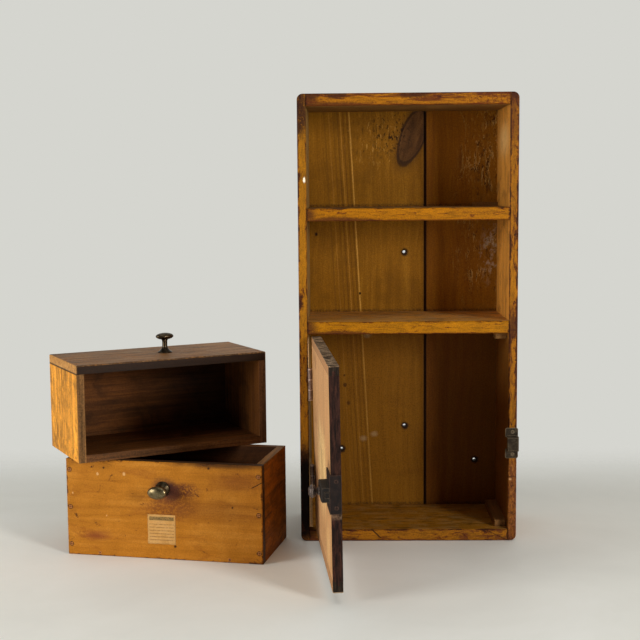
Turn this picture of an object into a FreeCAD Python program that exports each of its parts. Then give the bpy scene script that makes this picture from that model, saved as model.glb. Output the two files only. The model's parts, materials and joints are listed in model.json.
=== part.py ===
import FreeCAD, Part
import math
import os

# Small wall-hung apothecary cupboard in painted pine: an open case with two drawer bays
# over a cupboard with a hung door. The door stands open and both drawers are taken out and
# stacked at the left. Millimetres, +Z up, the case's front faces -Y, and the origin is the
# middle of the case's underside.

Vec = FreeCAD.Vector

# Case boards
case_width = 225.0
case_height = 464.0
case_depth = 104.0            # depth of the sides, without the back boards
side_t = 9.0
top_t = 12.5
bottom_t = 12.0
shelf_t = 13.0
back_t = 8.0
drawer_bay = 103.5            # clear height of each drawer bay
corner_r = 6.0                # worn outer corners of the case
arris = 0.9                   # worn front edges
back_joint_x = 24.2           # where the two back boards meet, in a shiplap
back_joint_gap = 1.8
back_lap = 6.0
back_lap_gap = 0.4

# Holes through the back, from earlier hangings
wall_hole_r = 1.7
wall_hole_x = 1.0
wall_hole_low_z = 102.8
wall_hole_spacing = 195.0
left_hole_x = -69.8
left_hole_z = 76.5
right_hole_x = 79.6
right_hole_z = 63.5

# Drawers
drawer_side_clear = 1.0
drawer_top_clear = 4.5
drawer_stop_depth = 6.0
drawer_stop_height = 4.0
drawer_stop_length = 27.0
drawer_front_t = 9.0
drawer_side_t = 7.5
drawer_back_t = 7.5
drawer_bottom_t = 6.0
drawer_arris = 0.7
lower_knob_z = 72.0
upper_knob_z = 50.0
upper_knob_x = -8.0

# How the two drawers are stacked beside the case
stack_side_gap = 35.0         # lower drawer's near right corner to the case's left side
stack_reach = 81.0            # the same corner in front of the case
lower_turn = -11.0            # degrees about Z
upper_turn = 28.5
upper_set_back = 44.5         # upper drawer's near edge behind the lower drawer's front
stack_gap = 0.1

# Drawer knob
knob_rose_r = 7.7
knob_neck_r = 2.8
knob_flare_h = 8.0
knob_head_long = 19.4
knob_head_short = 12.8
knob_head_thick = 7.2
knob_height = 21.0
knob_foot_h = 1.0
knob_shank_r = 2.0
knob_shank_clear = 0.05
knob_sides = 20

# Door
door_t = 9.5
door_clear = 1.5              # above
door_foot_clear = 0.8         # below
door_free_gap = 5.9           # door edge to the right side, where the keeper reaches over
door_open = 84.4              # degrees open at rest
top_cleat_h = 8.5
bottom_cleat_h = 10.5
tongue_t = 3.2
tongue_h = 4.0
tongue_clear = 0.1

# Hinges: the line of the pins leans left at its top, as the tapered strip behind it does
hinge_lean = 0.75             # degrees
hinge_edge_gap = 1.5          # strip to door edge when shut
strip_mid_t = 2.05
strip_end_gap = 3.5
leaf_h = 32.5
leaf_t = 1.1
leaf_w = 8.6
leaf_gap = 0.2                # between shut leaves
barrel_r = 2.3
barrel_clear = 0.15           # barrel to the case front
pin_r = 1.1
pin_clear = 0.05
pin_head_h = 0.8
knuckle_gap = 0.25
upper_hinge_drop = 52.0       # middle of the upper hinge below the lower shelf
lower_hinge_rise = 53.5       # middle of the lower hinge above the bottom board
screw_r = 0.9
screw_head_r = 1.9
screw_clear = 0.05
screw_sides = 10
screw_slot_w = 0.5
screw_slot_depth = 0.5
hinge_screw_length = 7.0
hinge_screw_margin = 7.25     # from the leaf's end
hinge_screw_inset = 5.6       # behind the case front

# Latch on the door and its keeper on the right side
latch_rise = 90.5             # middle of the latch above the bottom board
keeper_lift = 1.5             # middle of the keeper above the latch
plate_t = 1.2
plate_h = 35.0
plate_w = 31.0
latch_length = 32.0
latch_h = 13.0
latch_d = 7.6
latch_wall = 1.3
latch_arris = 0.9
bolt_d = 4.2
bolt_low = 4.9
bolt_high = 3.5
bolt_tail = 9.0
nose_h = 5.2
nose_proud = 0.6
bolt_clear = 0.25
turn_range = 90.0
crank_r = 3.7
crank_disc_r = 4.8
crank_disc_t = 1.4
crank_pin_r = 1.0
crank_pin_clear = 0.35
spindle_r = 2.2
spindle_clear = 0.05
spindle_back = 15.5           # knob axis from the door's free edge
latch_knob_r = 6.1
latch_knob_out = 18.8         # top of the knob from the door's face
latch_knob_head = 6.0
knob_collar_h = 1.2
disc_clear = 0.2              # knob and crank disc to the latch case
spring_t = 0.4
spring_length = 16.0
spring_clear = 0.05
keeper_h = 32.0
keeper_t = 1.4
keeper_reach = 3.1            # flanges reach past the side's inner face
keeper_overhang = 1.1         # and past its outer face
bridge_h = 15.0
bridge_out = 8.6
bridge_set_in = 1.0
flange_corner_r = 2.0
plate_screw_length = 7.0

# Door stops inside the cupboard
stop_w = 12.5
stop_h = 7.0
stop_back_gap = 8.0
stop_short_length = 20.0
stop_clear = 1.5

# Cut nails
nail_w = 1.5
nail_head_w = 2.8
nail_head_t = 0.8
nail_clear = 0.04
case_nail_length = 24.0
back_nail_length = 20.0
drawer_nail_length = 18.0
nail_inset = 20.0
drawer_nail_inset = 11.0

# How far each cutter runs past the face that it cuts
overrun = 1.0

# Worked-out places
bay_width = case_width - 2 * side_t
inner_x = bay_width / 2
outer_x = case_width / 2
total_depth = case_depth + back_t
front_y = -total_depth / 2
back_y = front_y + case_depth
rear_y = back_y + back_t
top_z = case_height - top_t
upper_shelf_z = top_z - drawer_bay - shelf_t
lower_shelf_z = upper_shelf_z - drawer_bay - shelf_t
cupboard_bay = lower_shelf_z - bottom_t

drawer_width = bay_width - 2 * drawer_side_clear
drawer_height = drawer_bay - drawer_top_clear
drawer_depth = case_depth - drawer_stop_depth

door_low = bottom_t + door_foot_clear
door_high = lower_shelf_z - door_clear
door_mid_z = bottom_t + cupboard_bay / 2
pin_x = -inner_x + strip_mid_t + hinge_edge_gap / 2
pin_y = front_y - barrel_r - barrel_clear
free_edge_x = inner_x - door_free_gap
upper_hinge_z = lower_shelf_z - upper_hinge_drop
lower_hinge_z = bottom_t + lower_hinge_rise
hinge_screw_spacing = leaf_h - 2 * hinge_screw_margin
latch_z = bottom_t + latch_rise
keeper_z = latch_z + keeper_lift
pin_point = Vec(pin_x, pin_y, door_mid_z)
pin_axis = Vec(-math.sin(math.radians(hinge_lean)), 0, math.cos(math.radians(hinge_lean)))

spindle_x = free_edge_x - spindle_back
latch_inner_d = plate_t + latch_d - latch_wall
bolt_throw = 2 * crank_r * math.sin(math.radians(turn_range / 2))


def box(x0, x1, y0, y1, z0, z1):
    return Part.makeBox(x1 - x0, y1 - y0, z1 - z0, Vec(x0, y0, z0))


def prism(points, direction):
    """Closed straight-sided outline swept along a vector."""
    return Part.Face(Part.makePolygon(points + points[:1])).extrude(direction)


def cylinder(radius, start, direction, length):
    return Part.makeCylinder(radius, length, start, direction)


def stacked(rings, sides):
    """Flat-faced solid through level rings, each given as half length, half width and height."""
    turn = 2 * math.pi / sides
    outlines = []
    for along, across, z in rings:
        corners = [Vec(along * math.cos(i * turn), across * math.sin(i * turn), z) for i in range(sides)]
        outlines.append(corners + corners[:1])
    faces = [Part.Face(Part.makePolygon(outlines[i])) for i in (0, -1)]
    for low, high in zip(outlines[:-1], outlines[1:]):
        for i in range(sides):
            quad = [low[i], low[i + 1], high[i + 1], high[i], low[i]]
            faces.append(Part.Face(Part.makePolygon(quad)))
    return Part.makeSolid(Part.makeShell(faces))


def picked(shape, wanted):
    return [edge for edge in shape.Edges if wanted(edge.BoundBox)]


def ease(shape, size, wanted):
    """Takes the sharpness off the edges that the test picks."""
    return shape.makeChamfer(size, picked(shape, wanted))


def on_front(y):
    return lambda bounds: abs(bounds.YMin - y) < 1e-6 and abs(bounds.YMax - y) < 1e-6


def square_nail(head, direction, length, clear=0.0):
    """Cut nail with its head's face at the given point, driven along the direction."""
    head_half = nail_head_w / 2 + clear
    half = nail_w / 2 + clear
    shape = box(-head_half, head_half, -head_half, head_half, 0, nail_head_t + clear)
    shape = shape.fuse(box(-half, half, -half, half, 0, length + clear)).removeSplitter()
    shape.Placement = FreeCAD.Placement(head, FreeCAD.Rotation(Vec(0, 0, 1), direction))
    return shape


def nail_set(places, length):
    """Nails at (point, direction) places, and the holes that they leave in the wood."""
    nails = [square_nail(point, way, length) for point, way in places]
    holes = [square_nail(point, way, length, nail_clear) for point, way in places]
    return Part.makeCompound(nails), Part.makeCompound(holes)


def flat_screw(head, direction, length, clear=0.0):
    """Countersunk screw without its slot, its head's face at the given point."""
    head_r = screw_head_r + clear
    shank_r = screw_r + clear
    neck_z = screw_head_r - screw_r
    rings = [(head_r, head_r, 0), (shank_r, shank_r, neck_z), (shank_r, shank_r, length + clear)]
    shape = stacked(rings, screw_sides)
    shape.Placement = FreeCAD.Placement(head, FreeCAD.Rotation(Vec(0, 0, 1), direction))
    return shape


def screw_slot(head, direction):
    half = screw_slot_w / 2
    shape = box(-screw_head_r, screw_head_r, -half, half, -screw_slot_depth, screw_slot_depth)
    shape.Placement = FreeCAD.Placement(head, FreeCAD.Rotation(Vec(0, 0, 1), direction))
    return shape


def screw_set(places, length):
    """Screws at (point, direction) places, and the holes that they need."""
    screws = [flat_screw(point, way, length).cut(screw_slot(point, way)) for point, way in places]
    holes = [flat_screw(point, way, length, screw_clear) for point, way in places]
    return Part.makeCompound(screws), Part.makeCompound(holes)


def lean(shape):
    """Leans what follows the hinge line."""
    return shape.rotate(Vec(pin_x, 0, door_mid_z), Vec(0, 1, 0), -hinge_lean)


def lean_x(x, z):
    """Where a line parallel to the pins, at x beside them, passes a height."""
    return pin_x + (x - pin_x) / math.cos(math.radians(hinge_lean)) - (z - door_mid_z) * math.tan(
        math.radians(hinge_lean))


def swing(shape):
    """Carries a piece from the shut door to the open one."""
    return shape.rotate(pin_point, pin_axis, -door_open)


nodes = {}


def make_case():
    boards = {
        "top_board": (top_z, case_height),
        "upper_shelf": (upper_shelf_z, upper_shelf_z + shelf_t),
        "lower_shelf": (lower_shelf_z, lower_shelf_z + shelf_t),
        "bottom_board": (0, bottom_t),
    }
    side_nails = []
    back_nails = []
    for z0, z1 in boards.values():
        middle = (z0 + z1) / 2
        for y in (front_y + nail_inset, back_y - nail_inset):
            side_nails.append((Vec(-outer_x, y, middle), Vec(1, 0, 0)))
            side_nails.append((Vec(outer_x, y, middle), Vec(-1, 0, 0)))
        for x in (-inner_x + nail_inset, back_joint_x - nail_inset, inner_x - nail_inset):
            back_nails.append((Vec(x, rear_y, middle), Vec(0, -1, 0)))
    nodes["case_nails"], side_holes = nail_set(side_nails, case_nail_length)
    nodes["back_nails"], back_holes = nail_set(back_nails, back_nail_length)

    for name, (z0, z1) in boards.items():
        board = box(-inner_x, inner_x, front_y, back_y, z0, z1)
        board = ease(board, arris, lambda b: on_front(front_y)(b) and b.ZMax - b.ZMin < 1e-6)
        nodes[name] = board.cut(side_holes).cut(back_holes)

    for name, sign in (("left_side", -1), ("right_side", 1)):
        side = box(inner_x, outer_x, front_y, back_y, 0, case_height)
        corners = picked(side, lambda b: b.XMin > outer_x - 1e-6 and b.ZMax - b.ZMin < 1e-6)
        side = side.makeFillet(corner_r, corners)
        side = ease(side, arris, on_front(front_y))
        if sign < 0:
            side = side.mirror(Vec(0, 0, 0), Vec(1, 0, 0))
        nodes[name] = side.cut(side_holes)

    half_gap = back_joint_gap / 2
    lap_y = back_y + back_t / 2
    lap_x = back_joint_x + half_gap + back_lap
    wide = box(-outer_x, back_joint_x - half_gap, back_y, rear_y, 0, case_height)
    wide = wide.fuse(box(back_joint_x - half_gap, lap_x, lap_y, rear_y, 0, case_height)).removeSplitter()
    narrow = box(back_joint_x + half_gap, outer_x, back_y, rear_y, 0, case_height)
    lap_room = box(back_joint_x, lap_x + back_lap_gap, lap_y - back_lap_gap, rear_y, 0, case_height)
    narrow = narrow.cut(lap_room)
    wall_holes = [
        (wall_hole_x, wall_hole_low_z),
        (wall_hole_x, wall_hole_low_z + wall_hole_spacing),
        (left_hole_x, left_hole_z),
        (right_hole_x, right_hole_z),
    ]
    drill_length = back_t + 2 * overrun
    drills = [cylinder(wall_hole_r, Vec(x, back_y - overrun, z), Vec(0, 1, 0), drill_length)
              for x, z in wall_holes]
    drills = Part.makeCompound(drills)
    for name, board, outer in (("back_board_wide", wide, -outer_x), ("back_board_narrow", narrow, outer_x)):
        corners = picked(board, lambda b: abs(b.XMin + b.XMax - 2 * outer) < 1e-6 and b.ZMax - b.ZMin < 1e-6
                         and b.XMax - b.XMin < 1e-6)
        nodes[name] = board.makeFillet(corner_r, corners).cut(back_holes).cut(drills)


def make_stops():
    shelf_top = upper_shelf_z + shelf_t
    nodes["drawer_stop"] = box(inner_x - drawer_stop_length, inner_x, back_y - drawer_stop_depth, back_y,
                               shelf_top, shelf_top + drawer_stop_height)
    stop_front = front_y + door_t + stop_clear
    lower = box(inner_x - stop_w, inner_x, stop_front, back_y - stop_back_gap, bottom_t, bottom_t + stop_h)
    nodes["lower_door_stop"] = ease(lower, arris, on_front(stop_front))
    upper = box(inner_x - stop_w, inner_x, stop_front, stop_front + stop_short_length,
                lower_shelf_z - stop_h, lower_shelf_z)
    nodes["upper_door_stop"] = ease(upper, arris, on_front(stop_front))


def hinge_leaf(z, side, knuckles):
    """One leaf, upright on the pin line, with its share of the barrel.

    The case's leaf has side -1 and the door's has side 1.
    """
    low = z - leaf_h / 2
    near = leaf_gap / 2
    far = near + leaf_t
    plate_x = sorted((pin_x + side * near, pin_x + side * far))
    plate = box(plate_x[0], plate_x[1], pin_y, front_y + leaf_w, low, low + leaf_h)
    third = leaf_h / 3
    leaf = plate
    for index in range(3):
        base = low + index * third
        if index in knuckles:
            leaf = leaf.fuse(cylinder(barrel_r, Vec(pin_x, pin_y, base + knuckle_gap / 2), Vec(0, 0, 1),
                                      third - knuckle_gap))
        else:
            room = barrel_r + knuckle_gap
            leaf = leaf.cut(box(pin_x - room, pin_x + room, pin_y - room, pin_y + room,
                                base - knuckle_gap / 2, base + third + knuckle_gap / 2))
    bore = cylinder(pin_r + pin_clear, Vec(pin_x, pin_y, low - overrun), Vec(0, 0, 1), leaf_h + 2 * overrun)
    return leaf.cut(bore).removeSplitter()


def leaf_mortise(z, side):
    """The shallow bed for a leaf in the wood."""
    low = z - leaf_h / 2
    far = pin_x + side * (leaf_gap / 2 + leaf_t)
    x0, x1 = sorted((pin_x, far))
    return box(x0, x1, front_y - overrun, front_y + leaf_w, low, low + leaf_h)


def make_hinges():
    """Both hinges in the shut place, upright. They are leaned and swung afterwards."""
    pieces = {}
    screw_y = front_y + hinge_screw_inset
    places = {-1: [], 1: []}
    beds = {-1: [], 1: []}
    for name, z in (("upper", upper_hinge_z), ("lower", lower_hinge_z)):
        for side, place, knuckles in ((-1, "case", (0, 2)), (1, "door", (1,))):
            pieces[name + "_hinge_" + place + "_leaf"] = hinge_leaf(z, side, knuckles)
            beds[side].append(leaf_mortise(z, side))
            for step in (-0.5, 0.5):
                head = Vec(pin_x + side * leaf_gap / 2, screw_y, z + step * hinge_screw_spacing)
                places[side].append((head, Vec(side, 0, 0)))
        foot = z - leaf_h / 2
        pin = cylinder(pin_r, Vec(pin_x, pin_y, foot), Vec(0, 0, 1), leaf_h + pin_head_h)
        head = cylinder(barrel_r, Vec(pin_x, pin_y, foot + leaf_h), Vec(0, 0, 1), pin_head_h)
        pieces[name + "_hinge_pin"] = pin.fuse(head).removeSplitter()
    holes = {}
    for side, place in ((-1, "case"), (1, "door")):
        pieces[place + "_hinge_screws"], holes[side] = screw_set(places[side], hinge_screw_length)
    for name in pieces:
        if name.endswith("leaf"):
            pieces[name] = pieces[name].cut(holes[-1]).cut(holes[1])
    return pieces, holes, beds


def make_hinge_strip(holes, beds):
    low = bottom_t + strip_end_gap
    high = lower_shelf_z - strip_end_gap
    face = pin_x - hinge_edge_gap / 2
    outline = [
        Vec(-inner_x, front_y, low),
        Vec(lean_x(face, low), front_y, low),
        Vec(lean_x(face, high), front_y, high),
        Vec(-inner_x, front_y, high),
    ]
    strip = prism(outline, Vec(0, door_t, 0))
    for cutter in beds[-1] + [holes[-1]]:
        strip = strip.cut(cutter)
        nodes["left_side"] = nodes["left_side"].cut(cutter)
    nodes["hinge_strip"] = strip


def make_door(holes, beds):
    """Panel with an end cleat tongued on at the top and the bottom, in the shut place."""
    edge = pin_x + hinge_edge_gap / 2

    def board(z0, z1, y0, y1):
        outline = [
            Vec(lean_x(edge, z0), y0, z0),
            Vec(free_edge_x, y0, z0),
            Vec(free_edge_x, y0, z1),
            Vec(lean_x(edge, z1), y0, z1),
        ]
        return prism(outline, Vec(0, y1 - y0, 0))

    inside_y = front_y + door_t
    panel_low = door_low + bottom_cleat_h
    panel_high = door_high - top_cleat_h
    tongue_y = front_y + (door_t - tongue_t) / 2
    panel = board(panel_low, panel_high, front_y, inside_y)
    panel = panel.fuse(board(panel_low - tongue_h, panel_high + tongue_h, tongue_y, tongue_y + tongue_t))
    for cutter in beds[1] + [holes[1]]:
        panel = panel.cut(cutter)
    groove = board(panel_low - tongue_h - tongue_clear, panel_high + tongue_h + tongue_clear,
                   tongue_y - tongue_clear, tongue_y + tongue_t + tongue_clear)
    pieces = {
        "door_panel": panel.removeSplitter(),
        "door_bottom_cleat": board(door_low, panel_low, front_y, inside_y),
        "door_top_cleat": board(panel_high, door_high, front_y, inside_y),
    }
    for name in ("door_bottom_cleat", "door_top_cleat"):
        eased = ease(pieces[name], arris, lambda b: abs(b.XMin - free_edge_x) < 1e-6
                     and b.ZMax - b.ZMin > top_cleat_h / 2)
        pieces[name] = eased.cut(groove)
    return pieces


def make_latch():
    """Rim latch in the shut place. Depths count outwards from the door's face."""
    def depth(d):
        return front_y - d

    plate_edge = free_edge_x + plate_t
    case_x0 = free_edge_x - latch_length
    case_z0 = latch_z - latch_h / 2
    case_z1 = latch_z + latch_h / 2
    pieces = {}

    plate_z0 = latch_z - plate_h / 2
    plate = box(free_edge_x - plate_w, plate_edge, depth(plate_t), front_y, plate_z0, plate_z0 + plate_h)
    plate = plate.fuse(box(free_edge_x, plate_edge, depth(plate_t), front_y + door_t,
                           plate_z0, plate_z0 + plate_h))
    screw_rise = (latch_h + plate_h) / 4
    screw_places = []
    for rise in (-screw_rise, screw_rise):
        screw_places.append((Vec(spindle_x, depth(plate_t), latch_z + rise), Vec(0, 1, 0)))
        screw_places.append((Vec(plate_edge, front_y + door_t / 2, latch_z + rise), Vec(-1, 0, 0)))
    pieces["latch_screws"], screw_holes = screw_set(screw_places, plate_screw_length)
    pieces["latch_plate"] = plate.cut(screw_holes).removeSplitter()

    case = box(case_x0, plate_edge, depth(plate_t + latch_d), depth(plate_t), case_z0, case_z1)
    outer_face = depth(plate_t + latch_d)
    case = ease(case, latch_arris, on_front(outer_face))
    case = case.cut(box(case_x0 + latch_wall, plate_edge - latch_wall, depth(latch_inner_d), depth(plate_t),
                        case_z0 + latch_wall, case_z1 - latch_wall))
    nose_half = nose_h / 2
    bolt_d0 = plate_t + bolt_clear
    bolt_d1 = bolt_d0 + bolt_d
    case = case.cut(box(plate_edge - latch_wall - overrun, plate_edge + overrun,
                        depth(bolt_d1 + bolt_clear), depth(plate_t),
                        latch_z - nose_half - bolt_clear, latch_z + nose_half + bolt_clear))
    spindle_hole = cylinder(spindle_r + spindle_clear, Vec(spindle_x, outer_face - overrun, latch_z),
                            Vec(0, 1, 0), latch_wall + 2 * overrun)
    pieces["latch_case"] = case.cut(spindle_hole)

    nose_end = plate_edge + nose_proud
    shoulder = plate_edge - latch_wall - bolt_throw - bolt_clear
    bolt = box(spindle_x - bolt_tail, shoulder, depth(bolt_d1), depth(bolt_d0), latch_z - bolt_low,
               latch_z + bolt_high)
    nose = box(shoulder, nose_end, depth(bolt_d1), depth(bolt_d0), latch_z - nose_half, latch_z + nose_half)
    rest = math.radians(turn_range / 2)
    crank_x = spindle_x - crank_r * math.sin(rest)
    notch_half = crank_pin_r + crank_pin_clear
    notch_top = latch_z - crank_r * math.cos(rest) + notch_half
    notch = box(crank_x - notch_half, crank_x + notch_half, depth(bolt_d1 + overrun),
                depth(bolt_d0 - overrun), latch_z - bolt_low - overrun, notch_top)
    pieces["latch_bolt"] = bolt.fuse(nose).cut(notch).removeSplitter()

    pieces["latch_knob"] = latch_knob(depth, crank_x, latch_z - crank_r * math.cos(rest), bolt_d0)
    pieces["latch_spring"] = latch_spring(depth, bolt_d0, case_z1 - latch_wall)
    return pieces, screw_holes


def latch_knob(depth, crank_x, crank_z, bolt_d0):
    """Turned knob, its spindle, and inside the case a crank disc with the pin that drives the bolt."""
    disc_top = latch_inner_d - disc_clear
    disc_low = disc_top - crank_disc_t
    collar_low = plate_t + latch_d + disc_clear
    head_base = latch_knob_out - latch_knob_head
    neck_r = spindle_r * 1.1
    collar_r = spindle_r * 1.7
    profile = [
        (collar_r, collar_low),
        (collar_r, collar_low + knob_collar_h),
        (neck_r, collar_low + 2 * knob_collar_h),
        (neck_r, head_base - knob_collar_h),
        (latch_knob_r * 0.8, head_base),
        (latch_knob_r, head_base + latch_knob_head * 0.4),
        (latch_knob_r * 0.85, head_base + latch_knob_head * 0.75),
        (latch_knob_r * 0.5, latch_knob_out),
    ]
    up = Vec(0, 0, 1)
    knob = stacked([(radius, radius, z) for radius, z in profile], knob_sides)
    knob = knob.fuse(cylinder(spindle_r, Vec(0, 0, disc_low), up, collar_low + knob_collar_h - disc_low))
    knob = knob.fuse(cylinder(crank_disc_r, Vec(0, 0, disc_low), up, crank_disc_t))
    outwards = FreeCAD.Rotation(up, Vec(0, -1, 0))
    knob.Placement = FreeCAD.Placement(Vec(spindle_x, depth(0), latch_z), outwards)
    pin_foot = bolt_d0 + crank_pin_r
    pin = cylinder(crank_pin_r, Vec(crank_x, depth(pin_foot), crank_z), Vec(0, -1, 0),
                   disc_low + disc_clear - pin_foot)
    return knob.fuse(pin).removeSplitter().Solids[0]


def latch_spring(depth, bolt_d0, ceiling):
    """Bowed flat spring between the case and the top of the bolt, which holds the bolt where it is put."""
    left = spindle_x - bolt_tail
    right = left + spring_length
    middle = (left + right) / 2
    touch = latch_z + bolt_high + spring_clear
    y0 = depth(bolt_d0 + bolt_d)
    end_low = ceiling - spring_t
    low_ends = [Vec(x, y0, end_low) for x in (left, right)]
    high_ends = [Vec(x, y0, ceiling) for x in (left, right)]
    under = Part.Arc(low_ends[0], Vec(middle, y0, touch), low_ends[1]).toShape()
    over = Part.Arc(high_ends[1], Vec(middle, y0, touch + spring_t), high_ends[0]).toShape()
    right_end = Part.makeLine(low_ends[1], high_ends[1])
    left_end = Part.makeLine(high_ends[0], low_ends[0])
    return Part.Face(Part.Wire([under, right_end, over, left_end])).extrude(Vec(0, bolt_d, 0))


def make_keeper():
    """Bent strap on the right side's front edge: two screwed flanges and the raised bridge."""
    x0 = inner_x - keeper_reach
    x1 = outer_x + keeper_overhang
    half = keeper_h / 2
    rise = bridge_h / 2
    face = front_y
    flange = box(x0, x1, face - keeper_t, face, keeper_z - half, keeper_z + half)
    corners = picked(flange, lambda b: b.XMax - b.XMin < 1e-6 and b.ZMax - b.ZMin < 1e-6)
    flange = flange.makeFillet(flange_corner_r, corners)
    flange = flange.cut(box(x0 - overrun, x1 + overrun, face - keeper_t - overrun, face + overrun,
                            keeper_z - rise + keeper_t, keeper_z + rise - keeper_t))
    bridge = box(x0 + bridge_set_in, x1, face - bridge_out, face, keeper_z - rise, keeper_z + rise)
    bridge = ease(bridge, latch_arris, on_front(face - bridge_out))
    bridge = bridge.cut(box(x0, x1 + overrun, face - bridge_out + keeper_t, face + overrun,
                            keeper_z - rise + keeper_t, keeper_z + rise - keeper_t))
    screw_rise = (half + rise) / 2
    middle = (inner_x + outer_x) / 2
    places = [(Vec(middle, face - keeper_t, keeper_z + way * screw_rise), Vec(0, 1, 0)) for way in (-1, 1)]
    nodes["keeper_screws"], holes = screw_set(places, plate_screw_length)
    nodes["keeper"] = flange.fuse(bridge).cut(holes).removeSplitter()
    nodes["right_side"] = nodes["right_side"].cut(holes)


def drawer_knob(x, z):
    """Cast knob in the drawer's own frame: flared foot, neck and oval head, with a shank behind."""
    head_z = knob_height - knob_head_thick / 2
    flare_drop = knob_flare_h - knob_foot_h
    flare_in = knob_rose_r - knob_neck_r
    profile = [
        (knob_rose_r, 0),
        (knob_rose_r, knob_foot_h),
        (knob_neck_r + flare_in * 0.4, knob_foot_h + flare_drop * 0.25),
        (knob_neck_r + flare_in * 0.1, knob_foot_h + flare_drop * 0.6),
        (knob_neck_r, knob_flare_h),
        (knob_neck_r, head_z),
    ]
    slopes = [math.radians(angle) for angle in (-75, -50, -25, 0, 25, 50, 75)]
    head = [(knob_head_long / 2 * math.cos(slope), knob_head_short / 2 * math.cos(slope),
             head_z + knob_head_thick / 2 * math.sin(slope)) for slope in slopes]
    knob = stacked([(radius, radius, z) for radius, z in profile], knob_sides)
    knob = knob.fuse(stacked(head, knob_sides))
    knob = knob.fuse(cylinder(knob_shank_r, Vec(0, 0, -drawer_front_t), Vec(0, 0, 1),
                              drawer_front_t + knob_foot_h)).removeSplitter().Solids[0]
    knob.Placement = FreeCAD.Placement(Vec(x, 0, z), FreeCAD.Rotation(Vec(1, 0, 0), 90))
    return knob


def make_drawer(name, knob_x, knob_z, place):
    """Nailed drawer: the front covers the sides' ends, and back and bottom lie between the sides."""
    half = drawer_width / 2
    in_x = half - drawer_side_t
    back_front = drawer_depth - drawer_back_t
    pieces = {
        "front": box(-half, half, 0, drawer_front_t, 0, drawer_height),
        "left_side": box(-half, -in_x, drawer_front_t, drawer_depth, 0, drawer_height),
        "right_side": box(in_x, half, drawer_front_t, drawer_depth, 0, drawer_height),
        "back": box(-in_x, in_x, back_front, drawer_depth, 0, drawer_height),
        "bottom": box(-in_x, in_x, drawer_front_t, back_front, 0, drawer_bottom_t),
    }
    pieces["front"] = ease(pieces["front"], drawer_arris, on_front(0))
    side_x = half - drawer_side_t / 2
    back_mid = drawer_depth - drawer_back_t / 2
    places = []
    for sign in (-1, 1):
        for z in (drawer_nail_inset, drawer_height / 2, drawer_height - drawer_nail_inset):
            places.append((Vec(sign * side_x, 0, z), Vec(0, 1, 0)))
        for z in (2 * drawer_nail_inset, drawer_height - drawer_nail_inset):
            places.append((Vec(sign * half, back_mid, z), Vec(-sign, 0, 0)))
        places.append((Vec(sign * drawer_width / 3, 0, drawer_bottom_t / 2), Vec(0, 1, 0)))
    pieces["nails"], holes = nail_set(places, drawer_nail_length)
    shank_hole = cylinder(knob_shank_r + knob_shank_clear, Vec(knob_x, -overrun, knob_z), Vec(0, 1, 0),
                          drawer_front_t + 2 * overrun)
    pieces["front"] = pieces["front"].cut(shank_hole)
    for part in ("front", "left_side", "right_side", "back", "bottom"):
        pieces[part] = pieces[part].cut(holes)
    pieces["knob"] = drawer_knob(knob_x, knob_z)
    for part, shape in pieces.items():
        shape.Placement = place.multiply(shape.Placement)
        nodes[name + "_" + part] = shape


def make_drawers():
    corner = Vec(-outer_x - stack_side_gap, front_y - stack_reach, 0)
    lower_turned = FreeCAD.Rotation(Vec(0, 0, 1), lower_turn)
    half_front = lower_turned.multVec(Vec(drawer_width / 2, 0, 0))
    lower_place = FreeCAD.Placement(corner - half_front, lower_turned)
    make_drawer("lower_drawer", 0, lower_knob_z, lower_place)

    # The upper drawer lies on its back, its front upwards and its open top towards the viewer
    on_back = FreeCAD.Rotation(Vec(0, 0, 1), 180).multiply(FreeCAD.Rotation(Vec(1, 0, 0), -90))
    upper_turned = FreeCAD.Rotation(Vec(0, 0, 1), upper_turn).multiply(on_back)
    near_edge = lower_place.multVec(Vec(0, upper_set_back, drawer_height + stack_gap))
    near_corner = upper_turned.multVec(Vec(0, drawer_depth, drawer_height))
    upper_place = FreeCAD.Placement(near_edge - near_corner, upper_turned)
    make_drawer("upper_drawer", upper_knob_x, upper_knob_z, upper_place)


def make_all():
    make_case()
    make_stops()
    hinges, hinge_holes, beds = make_hinges()
    for group in (hinge_holes, beds):
        for side in group:
            if isinstance(group[side], list):
                group[side] = [lean(shape) for shape in group[side]]
            else:
                group[side] = lean(group[side])
    make_hinge_strip(hinge_holes, beds)
    door = make_door(hinge_holes, beds)
    latch, latch_holes = make_latch()
    door["door_panel"] = door["door_panel"].cut(latch_holes)
    door.update(latch)
    make_keeper()
    for name, shape in hinges.items():
        shape = lean(shape)
        if "door" in name:
            door[name] = shape
        else:
            nodes[name] = shape
    for name, shape in door.items():
        nodes[name] = swing(shape)
    make_drawers()


make_all()
os.makedirs("parts", exist_ok=True)
for node, shape in nodes.items():
    shape.exportStep("parts/" + node + ".step")
print(len(nodes), "nodes, case", case_width, "x", total_depth, "x", round(case_height, 1),
      "mm, bolt throw", round(bolt_throw, 2), "mm")
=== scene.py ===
import json
import math
import bpy
import bmesh
from mathutils import Euler, Matrix, Vector, noise


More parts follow.
